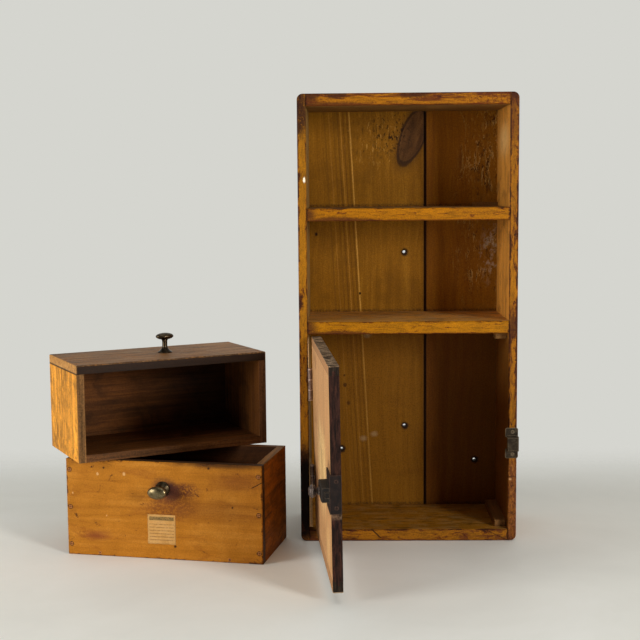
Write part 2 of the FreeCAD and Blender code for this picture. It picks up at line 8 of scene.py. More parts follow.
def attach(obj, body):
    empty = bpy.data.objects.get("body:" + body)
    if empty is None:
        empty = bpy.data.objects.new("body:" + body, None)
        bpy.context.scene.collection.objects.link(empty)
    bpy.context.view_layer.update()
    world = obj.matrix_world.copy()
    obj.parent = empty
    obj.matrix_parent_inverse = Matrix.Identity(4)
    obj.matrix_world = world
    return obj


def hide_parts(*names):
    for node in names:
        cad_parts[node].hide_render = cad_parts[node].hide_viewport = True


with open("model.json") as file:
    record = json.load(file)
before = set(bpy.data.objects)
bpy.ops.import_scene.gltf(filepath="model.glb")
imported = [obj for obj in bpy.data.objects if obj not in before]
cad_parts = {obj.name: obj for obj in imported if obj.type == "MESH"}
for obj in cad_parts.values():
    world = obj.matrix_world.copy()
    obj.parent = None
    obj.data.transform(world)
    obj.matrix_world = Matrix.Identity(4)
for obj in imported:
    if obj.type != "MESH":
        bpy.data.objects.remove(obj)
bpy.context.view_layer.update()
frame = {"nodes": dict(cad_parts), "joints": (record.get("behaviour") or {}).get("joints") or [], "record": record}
nodes = frame["nodes"]
joints = {joint["name"]: joint for joint in frame["joints"]}
mounts = {mount["name"]: mount for mount in frame["record"]["mounts"]}
ORIGIN = (0, 0, 0)
NO_TURN = (0, 0, 0)


# Places of the part, in millimetres, worked out from the frame
def in_frame(node, at=ORIGIN, turn=NO_TURN):
    """Lowest and highest corner of a node in a frame of its own."""
    back = Euler(turn).to_matrix().inverted()
    points = [back @ (vertex.co * 1000 - Vector(at)) for vertex in nodes[node].data.vertices]
    low = Vector([min(point[axis] for point in points) for axis in range(3)])
    high = Vector([max(point[axis] for point in points) for axis in range(3)])
    return low, high


def drawer_origin(front, turn):
    """The middle of the lower edge of a drawer's face, in the row frame."""
    low, high = in_frame(front, ORIGIN, turn)
    return Euler(turn).to_matrix() @ Vector(((low.x + high.x) / 2, low.y, low.z))


def stacked_yaw(side):
    """How far the upper drawer is turned, from the outer edge of the side that is seen."""
    points = [vertex.co for vertex in nodes[side].data.vertices]
    far = min(points, key=lambda point: point.x)
    near = min(points, key=lambda point: point.y)
    return math.atan2(near.x - far.x, far.y - near.y)


def heights(board):
    """Lower and upper face of a level board."""
    low, high = in_frame(board)
    return low.z, high.z


def hole_places(mount):
    """Across and up of each hole of a mount in the back."""
    middle = Vector(mounts[mount]["pos_m"]) * 1000
    spacing = mounts[mount]["dims"].get("spacing_y_mm")
    if spacing is None:
        return [(middle.x, middle.z)]
    return [(middle.x, middle.z - spacing / 2), (middle.x, middle.z + spacing / 2)]


SIDE_LOW, SIDE_HIGH = in_frame("right_side")
FRONT, BACK = SIDE_LOW.y, SIDE_HIGH.y
INNER, OUTER = SIDE_LOW.x, SIDE_HIGH.x
TOP = SIDE_HIGH.z
REAR = in_frame("back_board_wide")[1].y
BACK_GAP = 1.8
BACK_JOINT = in_frame("back_board_narrow")[0].x - BACK_GAP / 2
REAR_JOINT = in_frame("back_board_wide")[1].x
HINGE = joints["door_hinge"]
HINGE_AT = Vector(HINGE["pos_m"]) * 1000
DOOR_SWING = Matrix.Rotation(math.radians(-HINGE["range_deg"][0]), 3, Vector(HINGE["axis"]))
DOOR_TURN = tuple(DOOR_SWING.to_euler())
DOOR_PIN = HINGE_AT - DOOR_SWING @ Vector((0, 0, HINGE_AT.z))
LATCH_Z = (DOOR_SWING.inverted() @ (Vector(joints["latch_turn"]["pos_m"]) * 1000 - DOOR_PIN)).z
DOOR_LOW, DOOR_HIGH = in_frame("door_panel", DOOR_PIN, DOOR_TURN)
DOOR_FOOT = in_frame("door_bottom_cleat", DOOR_PIN, DOOR_TURN)[0].z
DOOR_HEAD = in_frame("door_top_cleat", DOOR_PIN, DOOR_TURN)[1].z
PULL = joints["lower_drawer_slide"]["axis"]
LOWER_TURN = (0, 0, math.atan2(PULL[0], -PULL[1]))
LOWER_AT = drawer_origin("lower_drawer_front", LOWER_TURN)
UPPER_TURN = (-math.pi / 2, 0, math.pi + stacked_yaw("upper_drawer_right_side"))
UPPER_AT = drawer_origin("upper_drawer_front", UPPER_TURN)
HALF_DRAWER, DRAWER_FRONT_T, DRAWER_HIGH = in_frame("lower_drawer_front", LOWER_AT, LOWER_TURN)[1]
NAIL_X = (HALF_DRAWER + in_frame("lower_drawer_right_side", LOWER_AT, LOWER_TURN)[0].x) / 2
NAIL_INSET = 11.0             # from the drawer's upper and lower edges
CUPBOARD_SHADE = (225, 205)   # heights between which painted shade darkens the lower bay, at the lower shelf


def rgb(tone):
    """Linear colour from display values of 0 to 255."""
    shares = [min(c, 255) / 255 for c in tone]
    return [(c / 12.92 if c <= 0.04045 else ((c + 0.055) / 1.055) ** 2.4) for c in shares] + [1.0]


def shade(tone, factor):
    return [c * factor for c in tone]


class Finish:
    """Writes one node material. Places are in millimetres, in the frame that it is given."""

    def __init__(self, name, at=ORIGIN, turn=NO_TURN):
        self.material = bpy.data.materials.new(name)
        self.material.use_nodes = True
        self.tree = self.material.node_tree
        self.tree.nodes.clear()
        self.shader = self.tree.nodes.new("ShaderNodeBsdfPrincipled")
        output = self.tree.nodes.new("ShaderNodeOutputMaterial")
        self.tree.links.new(self.shader.outputs[0], output.inputs[0])
        texture = self.tree.nodes.new("ShaderNodeTexCoord")
        place = self.make("ShaderNodeMapping", {"vector_type": "TEXTURE"},
                          Vector=texture.outputs["Object"], Location=[c / 1000 for c in at],
                          Rotation=turn, Scale=(0.001, 0.001, 0.001))
        self.place = place.outputs[0]
        self.x, self.y, self.z = self.make("ShaderNodeSeparateXYZ", {}, Vector=self.place).outputs
        self.colour = None

    def make(self, kind, settings, **sockets):
        node = self.tree.nodes.new(kind)
        for key, value in settings.items():
            setattr(node, key, value)
        for key, value in sockets.items():
            self.put(node.inputs[key], value)
        return node

    def put(self, socket, value):
        if isinstance(value, bpy.types.NodeSocket):
            self.tree.links.new(value, socket)
        else:
            socket.default_value = value

    def math(self, operation, *values):
        node = self.tree.nodes.new("ShaderNodeMath")
        node.operation = operation
        for socket, value in zip(node.inputs, values):
            self.put(socket, value)
        return node.outputs[0]

    def add(self, *values):
        result = values[0]
        for value in values[1:]:
            result = self.math("ADD", result, value)
        return result

    def times(self, *values):
        result = values[0]
        for value in values[1:]:
            result = self.math("MULTIPLY", result, value)
        return result

    def most(self, *values):
        result = values[0]
        for value in values[1:]:
            result = self.math("MAXIMUM", result, value)
        return result

    def flip(self, value):
        return self.math("SUBTRACT", 1.0, value)

    def swing(self, value, reach):
        """A noise value moved about zero and scaled."""
        return self.math("MULTIPLY_ADD", value, reach, -reach / 2)

    def span(self, value, start, end, low=0.0, high=1.0):
        """Soft step of a value, from low at start to high at end."""
        node = self.make("ShaderNodeMapRange", {"interpolation_type": "SMOOTHSTEP"})
        keys = ("Value", "From Min", "From Max", "To Min", "To Max")
        for key, amount in zip(keys, (value, start, end, low, high)):
            self.put(node.inputs[key], amount)
        return node.outputs[0]

    def noise(self, scale, shift=0.0, detail=5.0, rough=0.6, twist=0.4, source=None):
        """Noise with its own number of waves per millimetre along each axis."""
        spread = self.make("ShaderNodeMapping", {"vector_type": "POINT"}, Vector=source or self.place,
                           Scale=scale, Location=(shift, shift * 0.7, shift * 1.3))
        node = self.make("ShaderNodeTexNoise", {}, Vector=spread.outputs[0], Scale=1.0, Detail=detail,
                         Roughness=rough, Distortion=twist)
        return node.outputs[0]

    def timber(self, grain, seed, source=None):
        """The noises that every wooden surface uses: grain, pores, stains and specks."""
        self.streak = self.noise(along(grain, 0.20, 0.008), seed, 6, 0.6, 0.35, source)
        self.fine = self.noise(along(grain, 1.2, 0.035), seed + 3, 5, 0.65, 0.2, source)
        self.cloud = self.noise((0.028, 0.028, 0.028), seed + 5, 5, 0.62, 0.8)
        self.speck = self.noise((0.5, 0.5, 0.5), seed + 7, 5, 0.7, 0.6)
        self.wood = self.add(self.times(self.streak, 0.6), self.times(self.fine, 0.4))

    def mix(self, amount, first, second):
        node = self.tree.nodes.new("ShaderNodeMix")
        node.data_type = "RGBA"
        self.put(node.inputs[0], amount)
        self.put(node.inputs[6], first)
        self.put(node.inputs[7], second)
        return node.outputs[2]

    def ramp(self, value, dark, middle, light, low=0.32, high=0.68):
        """Three tones along a noise value."""
        node = self.make("ShaderNodeValToRGB", {}, Fac=value)
        elements = node.color_ramp.elements
        elements.new(0.5)
        for element, place, tone in zip(elements, (low, (low + high) / 2, high), (dark, middle, light)):
            element.position = place
            element.color = rgb(tone)
        return node.outputs[0]

    def over(self, tone, *amounts):
        """Lays a tone over the colour so far, by the product of the amounts."""
        self.colour = self.mix(self.times(*amounts), self.colour, rgb(tone))

    def oval(self, centre, radii, source=None):
        """Distance from a centre, 1 at the radii. An axis with radius 0 is left out."""
        away = self.make("ShaderNodeVectorMath", {"operation": "SUBTRACT"})
        self.put(away.inputs[0], source or self.place)
        away.inputs[1].default_value = centre
        shape = self.make("ShaderNodeVectorMath", {"operation": "MULTIPLY"})
        self.put(shape.inputs[0], away.outputs[0])
        shape.inputs[1].default_value = [1 / radius if radius else 0 for radius in radii]
        length = self.make("ShaderNodeVectorMath", {"operation": "LENGTH"})
        self.put(length.inputs[0], shape.outputs[0])
        return length.outputs["Value"]

    def spot(self, centre, radii, soft=0.4, ragged=None):
        """1 inside an oval and 0 outside, with a soft and perhaps ragged rim."""
        distance = self.oval(centre, radii)
        if ragged is not None:
            distance = self.add(distance, ragged)
        return self.span(distance, 1 - soft, 1 + soft, 1.0, 0.0)

    def line(self, value, at, width):
        """1 where a value is within a width of a place."""
        away = self.math("ABSOLUTE", self.math("SUBTRACT", value, at))
        return self.span(away, width * 0.4, width, 1.0, 0.0)

    def worn_edges(self, radius):
        """1 along the edges of a solid, out to about a radius in millimetres."""
        rounded = self.make("ShaderNodeBevel", {"samples": 6}, Radius=radius / 1000)
        flat = self.tree.nodes.new("ShaderNodeNewGeometry").outputs["True Normal"]
        meet = self.make("ShaderNodeVectorMath", {"operation": "DOT_PRODUCT"})
        self.put(meet.inputs[0], rounded.outputs[0])
        self.put(meet.inputs[1], flat)
        return self.span(meet.outputs["Value"], 0.985, 0.88)

    def done(self, rough, height, strength=0.35, depth=0.5, edge=0.0, **constants):
        """Connects colour, roughness and bump. rough is a pair that follows the specks."""
        self.put(self.shader.inputs["Base Color"], self.colour)
        self.put(self.shader.inputs["Roughness"], self.span(self.speck, 0.3, 0.8, *rough))
        for key, value in constants.items():
            self.shader.inputs[key.replace("_", " ")].default_value = value
        bump = self.make("ShaderNodeBump", {}, Height=height, Strength=strength, Distance=depth / 1000)
        if edge:
            rounded = self.make("ShaderNodeBevel", {"samples": 4}, Radius=edge / 1000)
            self.put(bump.inputs["Normal"], rounded.outputs[0])
        self.put(self.shader.inputs["Normal"], bump.outputs[0])
        return self.material

    def wood_done(self, rough=(0.55, 0.8), strength=0.45, edge=0.7, grit=0.18):
        """Finishes a wooden surface, with its smallest dark pits and pale flecks."""
        pits = self.noise((0.75, 0.75, 0.75), 4.4, 4, 0.72, 0.5)
        mottled = self.make("ShaderNodeVectorMath", {"operation": "SCALE"})
        self.put(mottled.inputs["Vector"], self.colour)
        self.put(mottled.inputs["Scale"], self.span(pits, 0.36, 0.64, 1 - grit, 1 + grit))
        self.colour = mottled.outputs["Vector"]
        height = self.add(self.times(self.fine, 0.6), self.times(self.speck, 0.45))
        return self.done(rough, height, strength, 0.5, edge, Specular_IOR_Level=0.10)


def along(axis, fine, coarse):
    """Noise scale for grain that runs along an axis."""
    return tuple(coarse if index == axis else fine for index in range(3))


def wear(name, material):
    """Gives a CAD node its finish."""
    mesh = nodes[name].data
    mesh.materials.clear()
    mesh.materials.append(material)


# Case boards: painted fronts and outsides, bare insides
def case_board(name, grain, edges, inside, tone, seed, worn_share):
    """edges are (axis, place, width) of the front edges that hands have rubbed."""
    f = Finish(name)
    f.timber(grain, seed)
    f.colour = f.ramp(f.wood, shade(inside, 0.72), inside, shade(inside, 1.2))
    f.over(shade(inside, 0.5), f.span(f.cloud, 0.5, 0.75, 0.0, 0.5))
    bare = f.colour
    f.front = f.span(f.y, FRONT + 1.0, FRONT + 2.2, 1.0, 0.0)
    out_x = f.span(f.math("ABSOLUTE", f.x), OUTER - 1.6, OUTER - 0.4)
    out_z = f.most(f.span(f.z, TOP - 0.6, TOP - 0.1), f.span(f.z, 0.6, 0.1))
    painted = f.most(f.front, out_x, out_z)
    f.inside = f.flip(painted)
    broad = f.add(f.times(f.streak, 0.5), f.times(f.cloud, 0.5))
    f.colour = f.ramp(broad, shade(tone, 0.84), tone, shade(tone, 1.1))
    scuff = f.noise(along(grain, 0.22, 0.055), seed + 11, 8, 0.74, 0.8)
    flake = f.noise((0.8, 0.8, 0.8), seed + 2, 6, 0.7, 0.5)
    rub = f.most(*[f.line((f.x, f.y, f.z)[axis], at, width) for axis, at, width in edges])
    edge_wear = f.times(f.front, f.math("MULTIPLY_ADD", rub, 0.085, 0.055))
    broken = f.add(scuff, edge_wear, f.swing(flake, 0.22), worn_share - 0.055)
    mostly_front = f.math("MULTIPLY_ADD", f.front, 0.7, 0.3)
    f.over(shade(tone, 1.28), f.span(flake, 0.55, 0.63, 0.0, 0.6), mostly_front)
    rubbed = f.span(f.noise(along(grain, 0.5, 0.09), seed + 4, 6, 0.7), 0.50, 0.58, 0.0, 0.5)
    f.over(shade(tone, 0.68), rubbed, mostly_front)
    f.over((98, 44, 10), f.span(broken, 0.56, 0.61, 0.0, 0.85))
    f.over((46, 21, 10), f.span(broken, 0.61, 0.65, 0.0, 0.92))
    f.colour = f.mix(painted, bare, f.colour)
    return f


def outer_grime(f, seed, share):
    """Dark wear that reaches in from the outer edge, unevenly. share is how much of the edge has it."""
    away = f.math("SUBTRACT", OUTER, f.math("ABSOLUTE", f.x))
    uneven = f.noise((0.01, 0.01, 0.05), seed, 8, 0.72, 0.6)
    reach = f.math("MULTIPLY_ADD", f.add(uneven, share), 40.0, -22.0)
    ragged = f.add(reach, f.swing(f.speck, 5.0), f.times(away, -1.0))
    f.over((92, 42, 12), f.span(ragged, -1.6, 0.6), f.front, 0.7)
    f.over((50, 24, 12), f.span(ragged, -0.3, 1.2), f.front, 0.85)


def left_side_finish():
    edges = [(0, -INNER, 2.0), (0, -OUTER, 3.0), (2, TOP, 8.0), (2, 0.0, 6.0)]
    f = case_board("left_side", 2, edges, (136, 104, 58), (148, 95, 12), 3.1, 0.012)
    blotch = f.add(f.swing(f.cloud, 1.1), f.swing(f.speck, 1.5))
    scorch = f.add(f.swing(f.cloud, 0.7), f.swing(f.speck, 0.5))
    f.over((66, 34, 15), f.spot((-109, FRONT, 48), (14, 0, 52), 0.15, scorch), f.front, 0.8)
    f.over((15, 9, 6), f.spot((-110, FRONT, 49), (13, 0, 43), 0.15, scorch), f.front, 0.97)
    corner = f.spot((-111, FRONT, 448), (9, 0, 28), 0.3, blotch)
    f.over((50, 25, 14), corner, f.front, f.span(f.speck, 0.36, 0.48, 0.35, 0.95))
    outer_grime(f, 2.0, 0.0)
    chip = f.spot((-105.7, FRONT, 377), (1.2, 0, 3.0), 0.3, f.swing(f.speck, 1.6))
    f.over((238, 228, 204), chip, f.front)
    return f.wood_done((0.45, 0.7))


def right_side_finish():
    edges = [(0, INNER, 2.0), (0, OUTER, 3.0), (2, TOP, 8.0), (2, 0.0, 6.0)]
    f = case_board("right_side", 2, edges, (190, 128, 52), (150, 94, 13), 8.7, 0.034)
    # Painted shade: the inner face darker in the lower bay, below the lower shelf.
    f.over((88, 51, 14), f.inside, f.span(f.z, *CUPBOARD_SHADE, 0.0, 0.8))
    pale = f.spot((INNER, -8, 418), (0, 34, 15), 0.7, f.swing(f.streak, 1.2))
    f.over((206, 164, 104), pale, f.inside, 0.7)
    f.over((96, 58, 26), f.span(f.noise((0.1, 0.03, 0.05), 4.0), 0.54, 0.66), f.inside, 0.45)
    blotch = f.add(f.swing(f.cloud, 1.1), f.swing(f.speck, 1.5))
    outer_grime(f, 7.0, 0.02)
    low_zone = f.spot((107.5, FRONT, 44), (8, 0, 44), 0.25, f.swing(f.cloud, 0.6))
    mottle = f.noise((0.42, 0.3, 0.2), 5.0, 7, 0.75, 0.8)
    f.over((122, 68, 32), low_zone, f.span(f.speck, 0.40, 0.56, 0.25, 0.85), f.front)
    f.over((56, 26, 14), low_zone, f.span(mottle, 0.52, 0.57), f.front, 0.85)
    f.over((176, 118, 60), low_zone, f.span(mottle, 0.43, 0.38), f.front, 0.7)
    ragged_z = f.add(f.z, f.swing(f.speck, 3.0))
    cuts = f.most(f.line(ragged_z, 68.5, 0.6), f.line(ragged_z, 222.0, 0.8))
    f.over((38, 19, 12), cuts, f.front, 0.8)
    chip = f.spot((105.8, FRONT, 65.5), (1.6, 0, 1.2), 0.4, f.swing(f.speck, 1.2))
    f.over((196, 148, 96), chip, f.front, 0.8)
    f.over((60, 28, 14), f.spot((108, FRONT, 224), (6, 0, 13), 0.6, blotch), f.front, 0.75)
    f.over((72, 34, 16), f.spot((107, FRONT, 440), (5, 0, 26), 0.6, blotch), f.front, 0.55)
    return f.wood_done((0.45, 0.7))


def shelf_finish(name, inside, tone, seed, worn_share=-0.004, dusty=0.6):
    """Level board between the sides, dusty on top and dark along its lower edge."""
    low, high = heights(name)
    edges = [(2, low, 1.8), (2, high, 1.8), (0, INNER, 2.0), (0, -INNER, 2.5)]
    f = case_board(name, 0, edges, inside, tone, seed, worn_share)
    top_face = f.times(f.span(f.z, high - 0.6, high - 0.1), f.inside)
    dust = f.noise((0.05, 0.10, 0.05), seed, 6, 0.65, 0.8)
    f.over((176, 146, 104), top_face, f.span(dust, 0.44, 0.62, 0.0, dusty))
    stains = f.noise((0.05, 0.16, 0.05), seed + 4)
    f.over(shade(inside, 0.45), top_face, f.span(stains, 0.50, 0.66, 0.0, 0.6))
    left_end = f.spot((-INNER, FRONT, (low + high) / 2), (9, 0, 8), 0.6, f.swing(f.speck, 1.2))
    f.over((62, 28, 13), left_end, f.front, 0.8)
    uneven = f.add(f.swing(f.cloud, 1.2), f.swing(f.speck, 1.4))
    f.over((70, 32, 12), f.spot((-70, FRONT, low), (34, 0, 3.6), 0.4, uneven), f.front, 0.8)
    lower_rim = f.add(f.span(f.z, low, low + 3.0, 1.0, 0.0), f.swing(f.cloud, 0.9), f.swing(f.speck, 0.5))
    f.over((94, 46, 12), f.span(lower_rim, 0.5, 0.95), f.front, 0.65)
    f.over((30, 15, 9), f.most(f.line(f.x, -INNER, 0.7), f.line(f.x, INNER, 0.4)), f.front, 0.85)
    return f


TOP_BURNS = ((-97, 9), (-72, 12), (6, 15))   # across and half width


def top_finish():
    low, high = heights("top_board")
    f = shelf_finish("top_board", (128, 92, 48), (150, 92, 9), 1.3, 0.012)
    run = f.noise((0.028, 0.1, 0.30), 11.0, 6, 0.68, 0.9)
    reddish = f.span(f.add(run, f.span(f.z, low, high, -0.06, 0.10)), 0.56, 0.61)
    f.over((86, 38, 13), reddish, f.front, 0.85)
    blotch = f.add(f.swing(f.cloud, 1.2), f.swing(f.speck, 1.4))
    for x, half in TOP_BURNS:
        f.over((58, 28, 13), f.spot((x, FRONT, high - 1.5), (half, 0, 4), 0.3, blotch), f.front, 0.8)
    right_part = f.spot((82, FRONT, high - 5), (26, 0, 11), 0.6)
    mottle = f.span(f.noise((0.28, 0.2, 0.34), 3.0, 6, 0.7, 1.0), 0.50, 0.56)
    f.over((86, 34, 13), right_part, mottle, f.front, 0.85)
    return f.wood_done((0.45, 0.7))


def bottom_finish():
    f = shelf_finish("bottom_board", (140, 92, 16), (144, 90, 13), 7.9, 0.016, 0.22)
    smear = f.noise((0.07, 0.1, 0.22), 3.0, 6, 0.68, 1.0)
    right_end = f.span(f.x, 20, 92, 0.0, 0.06)
    f.over((86, 40, 20), f.span(f.add(smear, right_end), 0.53, 0.62), f.front, 0.75)
    gouge = f.line(f.add(f.x, f.z), -26.0, 1.2)
    f.over((40, 20, 11), gouge, f.span(f.z, 2, 5), f.front)
    scratch = f.line(f.add(f.z, f.times(f.x, 0.5), f.swing(f.speck, 2.0)), 52.0, 0.7)
    f.over((44, 20, 11), scratch, f.span(f.x, 78, 82), f.front, 0.85)
    return f.wood_done((0.45, 0.7))


wear("left_side", left_side_finish())
wear("right_side", right_side_finish())
wear("top_board", top_finish())
for name, inside, tone, seed in (("upper_shelf", (132, 92, 44), (155, 96, 4), 5.2),
                                 ("lower_shelf", (200, 140, 62), (157, 100, 4), 6.4)):
    wear(name, shelf_finish(name, inside, tone, seed).wood_done((0.42, 0.66)))
wear("bottom_board", bottom_finish())


# Back boards: upright grain, a knot, and the marks of old fixings
def back_board(name, seed):
    f = Finish(name)
    sway = f.swing(f.noise((0.004, 0.02, 0.008), seed, 2, 0.5), 24.0)
    bent = f.make("ShaderNodeCombineXYZ", {}, X=f.add(f.x, sway), Y=f.y, Z=f.z).outputs[0]
    f.timber(2, seed, bent)
    return f


def back_done(f, holes, lower_bay_shade_tone, rear_tone):
    """Marks of the fixings and painted shade in the lower bay on the painted face, and the bare face behind."""
    # Painted shade: darker in the lower bay, below the lower shelf.
    f.over(lower_bay_shade_tone, f.span(f.z, *CUPBOARD_SHADE, 0.0, 0.55))
    for x, z in holes:
        ring = f.spot((x + 0.5, BACK, z - 0.3), (4.0, 0, 4.2), 0.35, f.swing(f.speck, 1.2))
        f.over((22, 11, 4), ring, 0.95)
    f.over((26, 13, 6), f.line(f.x, BACK_JOINT, 2.4), 0.85)
    level_boards = ("upper_shelf", "lower_shelf", "bottom_board")
    shelf_lines = [f.line(f.z, heights(board)[1], 4.0) for board in level_boards]
    f.over((40, 22, 9), f.most(*shelf_lines), f.span(f.speck, 0.4, 0.6, 0.1, 0.7))
    raw = f.ramp(f.wood, shade(rear_tone, 0.7), rear_tone, shade(rear_tone, 1.25))
    raw = f.mix(f.span(f.cloud, 0.42, 0.7, 0.0, 0.6), raw, rgb(shade(rear_tone, 0.64)))
    raw = f.mix(f.line(f.x, REAR_JOINT, 1.8), raw, rgb((38, 26, 17)))
    f.colour = f.mix(f.span(f.y, REAR - 1.0, REAR - 0.3), f.colour, raw)
    return f.wood_done((0.5, 0.78), 0.6, 0.0, 0.20)


def add_knot(f, centre, half_width, half_length, tilt):
    """A dark knot whose long axis leans, with its halo of disturbed grain."""
    turned = f.make("ShaderNodeVectorRotate", {"rotation_type": "Y_AXIS"}, Vector=f.place, Center=centre,
                    Angle=math.radians(tilt)).outputs[0]
    reach = f.add(f.oval(centre, (half_width, 0, half_length), turned), f.swing(f.cloud, 0.3))
    f.over((70, 42, 14), f.span(reach, 0.9, 1.5, 0.5, 0.0))
    heart = f.noise((0.16, 0.1, 0.03), 4.0, 5, 0.6, 0.5, turned)
    knot_tone = f.ramp(heart, (62, 37, 15), (84, 53, 24), (104, 68, 32))
    f.colour = f.mix(f.span(reach, 0.92, 1.02, 0.92, 0.0), f.colour, knot_tone)
    f.over((38, 22, 9), f.line(reach, 0.96, 0.11), 0.7)


# Growth lines of the wide board, from the right: place at the foot, half width, tone and strength
GROWTH_LINES = (
    (-34.6, 1.1, (204, 150, 62), 0.75),
    (-37.2, 1.2, (88, 52, 10), 0.55),
    (-41.5, 1.0, (92, 54, 10), 0.6),
    (-44.6, 0.8, (186, 130, 48), 0.5),
    (-47.6, 1.3, (88, 52, 10), 0.6),
    (-52.2, 1.0, (96, 58, 12), 0.5),
    (-57.0, 0.9, (172, 120, 44), 0.4),
    (-62.0, 1.2, (98, 60, 14), 0.4),
)
GROWTH_LEAN = 0.0545
# Small marks on the wide board: across, up and, for the dark ones, half width
DARK_MARKS = ((-65.4, 149, 2.0), (-61.6, 128.5, 1.8), (-66, 160, 1.1), (-96, 318, 1.6), (-48, 252, 1.2))
PALE_MARKS = ((-45, 88), (-40, 205), (-33, 93))
KNOT = (10.5, BACK, 424.0)


def wide_back_finish():
    f = back_board("back_wide", 2.0)
    f.colour = f.ramp(f.wood, (112, 71, 5), (134, 87, 11), (152, 103, 22))
    f.over((106, 66, 6), f.span(f.cloud, 0.45, 0.70, 0.0, 0.45))
    leaned = f.add(f.x, f.times(f.z, GROWTH_LEAN), f.swing(f.fine, 1.4))
    for at, width, tone, share in GROWTH_LINES:
        f.over(tone, f.line(leaned, at, width), f.span(f.streak, 0.3, 0.6, 0.5, 1.0), share)
    flecks = f.noise((0.42, 0.4, 0.10), 9.0, 5, 0.7, 0.4)
    near_knot = f.spot((-28, BACK, 424), (32, 0, 32), 0.6)
    f.over((194, 146, 64), near_knot, f.span(flecks, 0.58, 0.66), 0.7)
    f.over((54, 30, 8), near_knot, f.span(flecks, 0.42, 0.36), 0.6)
    add_knot(f, KNOT, 13.5, 33.0, -20)
    pores = f.spot((-14, BACK, 430), (20, 0, 24), 0.6)
    f.over((32, 17, 5), pores, f.span(f.noise((0.34, 0.3, 0.26), 6.0), 0.545, 0.60), 0.9)
    for x, z, size in DARK_MARKS:
        f.over((34, 18, 8), f.spot((x, BACK, z), (size, 0, size * 1.2), 0.5, f.swing(f.speck, 0.9)))
    for x, z in PALE_MARKS:
        f.over((196, 172, 128), f.spot((x, BACK, z), (3.4, 0, 2.6), 0.8, f.swing(f.speck, 1.4)), 0.5)
    holes = hole_places("hanging_holes") + hole_places("left_wall_hole")
    return back_done(f, holes, (94, 57, 3), (132, 98, 64))


def narrow_back_finish():
    f = back_board("back_narrow", 6.0)
    f.colour = f.ramp(f.wood, (108, 60, 3), (126, 74, 5), (140, 88, 10))
    f.over((132, 84, 14), f.span(f.x, 58, 100, 0.0, 0.5))
    upper = f.span(f.z, CUPBOARD_SHADE[0], 250)
    uneven_x = f.add(f.x, f.swing(f.noise((0.03, 0.1, 0.02), 3.0), 46))
    flaking = f.times(upper, f.span(uneven_x, 52, 80))
    cracks = f.noise((0.11, 0.1, 0.026), 7.0, 6, 0.72, 0.9)
    lifted = f.span(f.noise((0.05, 0.1, 0.03), 8.0), 0.42, 0.54)
    f.over((36, 15, 4), f.line(cracks, 0.535, 0.036), lifted, flaking, 0.92)
    f.over((196, 152, 82), f.line(cracks, 0.5, 0.024), lifted, flaking, 0.72)
    f.over((52, 28, 6), f.span(f.noise((0.34, 0.3, 0.14), 4.0, 6, 0.7), 0.57, 0.64), flaking, 0.7)
    f.over((150, 104, 40), f.span(f.noise((0.3, 0.3, 0.12), 2.0), 0.56, 0.66), flaking, 0.5)
    chalk = f.spot((98, BACK, 296), (10, 0, 28), 0.7, f.swing(f.cloud, 1.2))
    f.over((176, 160, 134), chalk, f.span(f.noise((0.16, 0.1, 0.12), 5.0, 7, 0.75), 0.48, 0.62), 0.7)
    return back_done(f, hole_places("right_wall_hole"), (70, 34, 1), (114, 80, 50))


wear("back_board_wide", wide_back_finish())
wear("back_board_narrow", narrow_back_finish())


# Door: a scratched pale outer face, a painted inside, and dark grimy edges
def door_finish(name, grain, seed, face_tone, inner_tone):
    """A piece of the door, in its outer face's colour. The inner face's is kept for door_edges."""
    f = Finish(name, DOOR_PIN, DOOR_TURN)
    f.timber(grain, seed)
    f.colour = f.ramp(f.wood, shade(face_tone, 0.86), face_tone, shade(face_tone, 1.1))
    face = f.colour
    f.colour = f.ramp(f.wood, shade(inner_tone, 0.8), inner_tone, shade(inner_tone, 1.15))
    f.over((84, 42, 16), f.span(f.add(f.cloud, f.swing(f.speck, 0.3)), 0.54, 0.66, 0.0, 0.75))
    f.inside = f.span(f.y, DOOR_LOW.y + 1.5, DOOR_LOW.y + 3.0)
    f.inner_colour = f.colour
    f.colour = face
    return f


def door_edges(f, edge_dark, edge_light):
    """Adds the inner face, the free edge and the end grain above and below."""
    f.colour = f.mix(f.inside, f.colour, f.inner_colour)
    grime = f.noise((0.2, 0.5, 0.06), 5.0, 6, 0.7, 0.5)
    middle = [(a + b) / 2 for a, b in zip(edge_dark, edge_light)]
    edge = f.ramp(grime, edge_dark, middle, edge_light, 0.38, 0.64)
    f.colour = f.mix(f.span(f.x, DOOR_HIGH.x - 1.6, DOOR_HIGH.x - 0.5), f.colour, edge)
    slats = f.noise((0.32, 0.1, 0.4), 4.0, 5, 0.72, 0.5)
    ends = f.ramp(slats, (34, 24, 16), (88, 68, 48), (196, 168, 134), 0.40, 0.60)
    head = f.span(f.z, DOOR_HEAD - 1.0, DOOR_HEAD - 0.3)
    foot = f.span(f.z, DOOR_FOOT + 1.0, DOOR_FOOT + 0.3)
    f.colour = f.mix(f.most(head, foot), f.colour, ends)


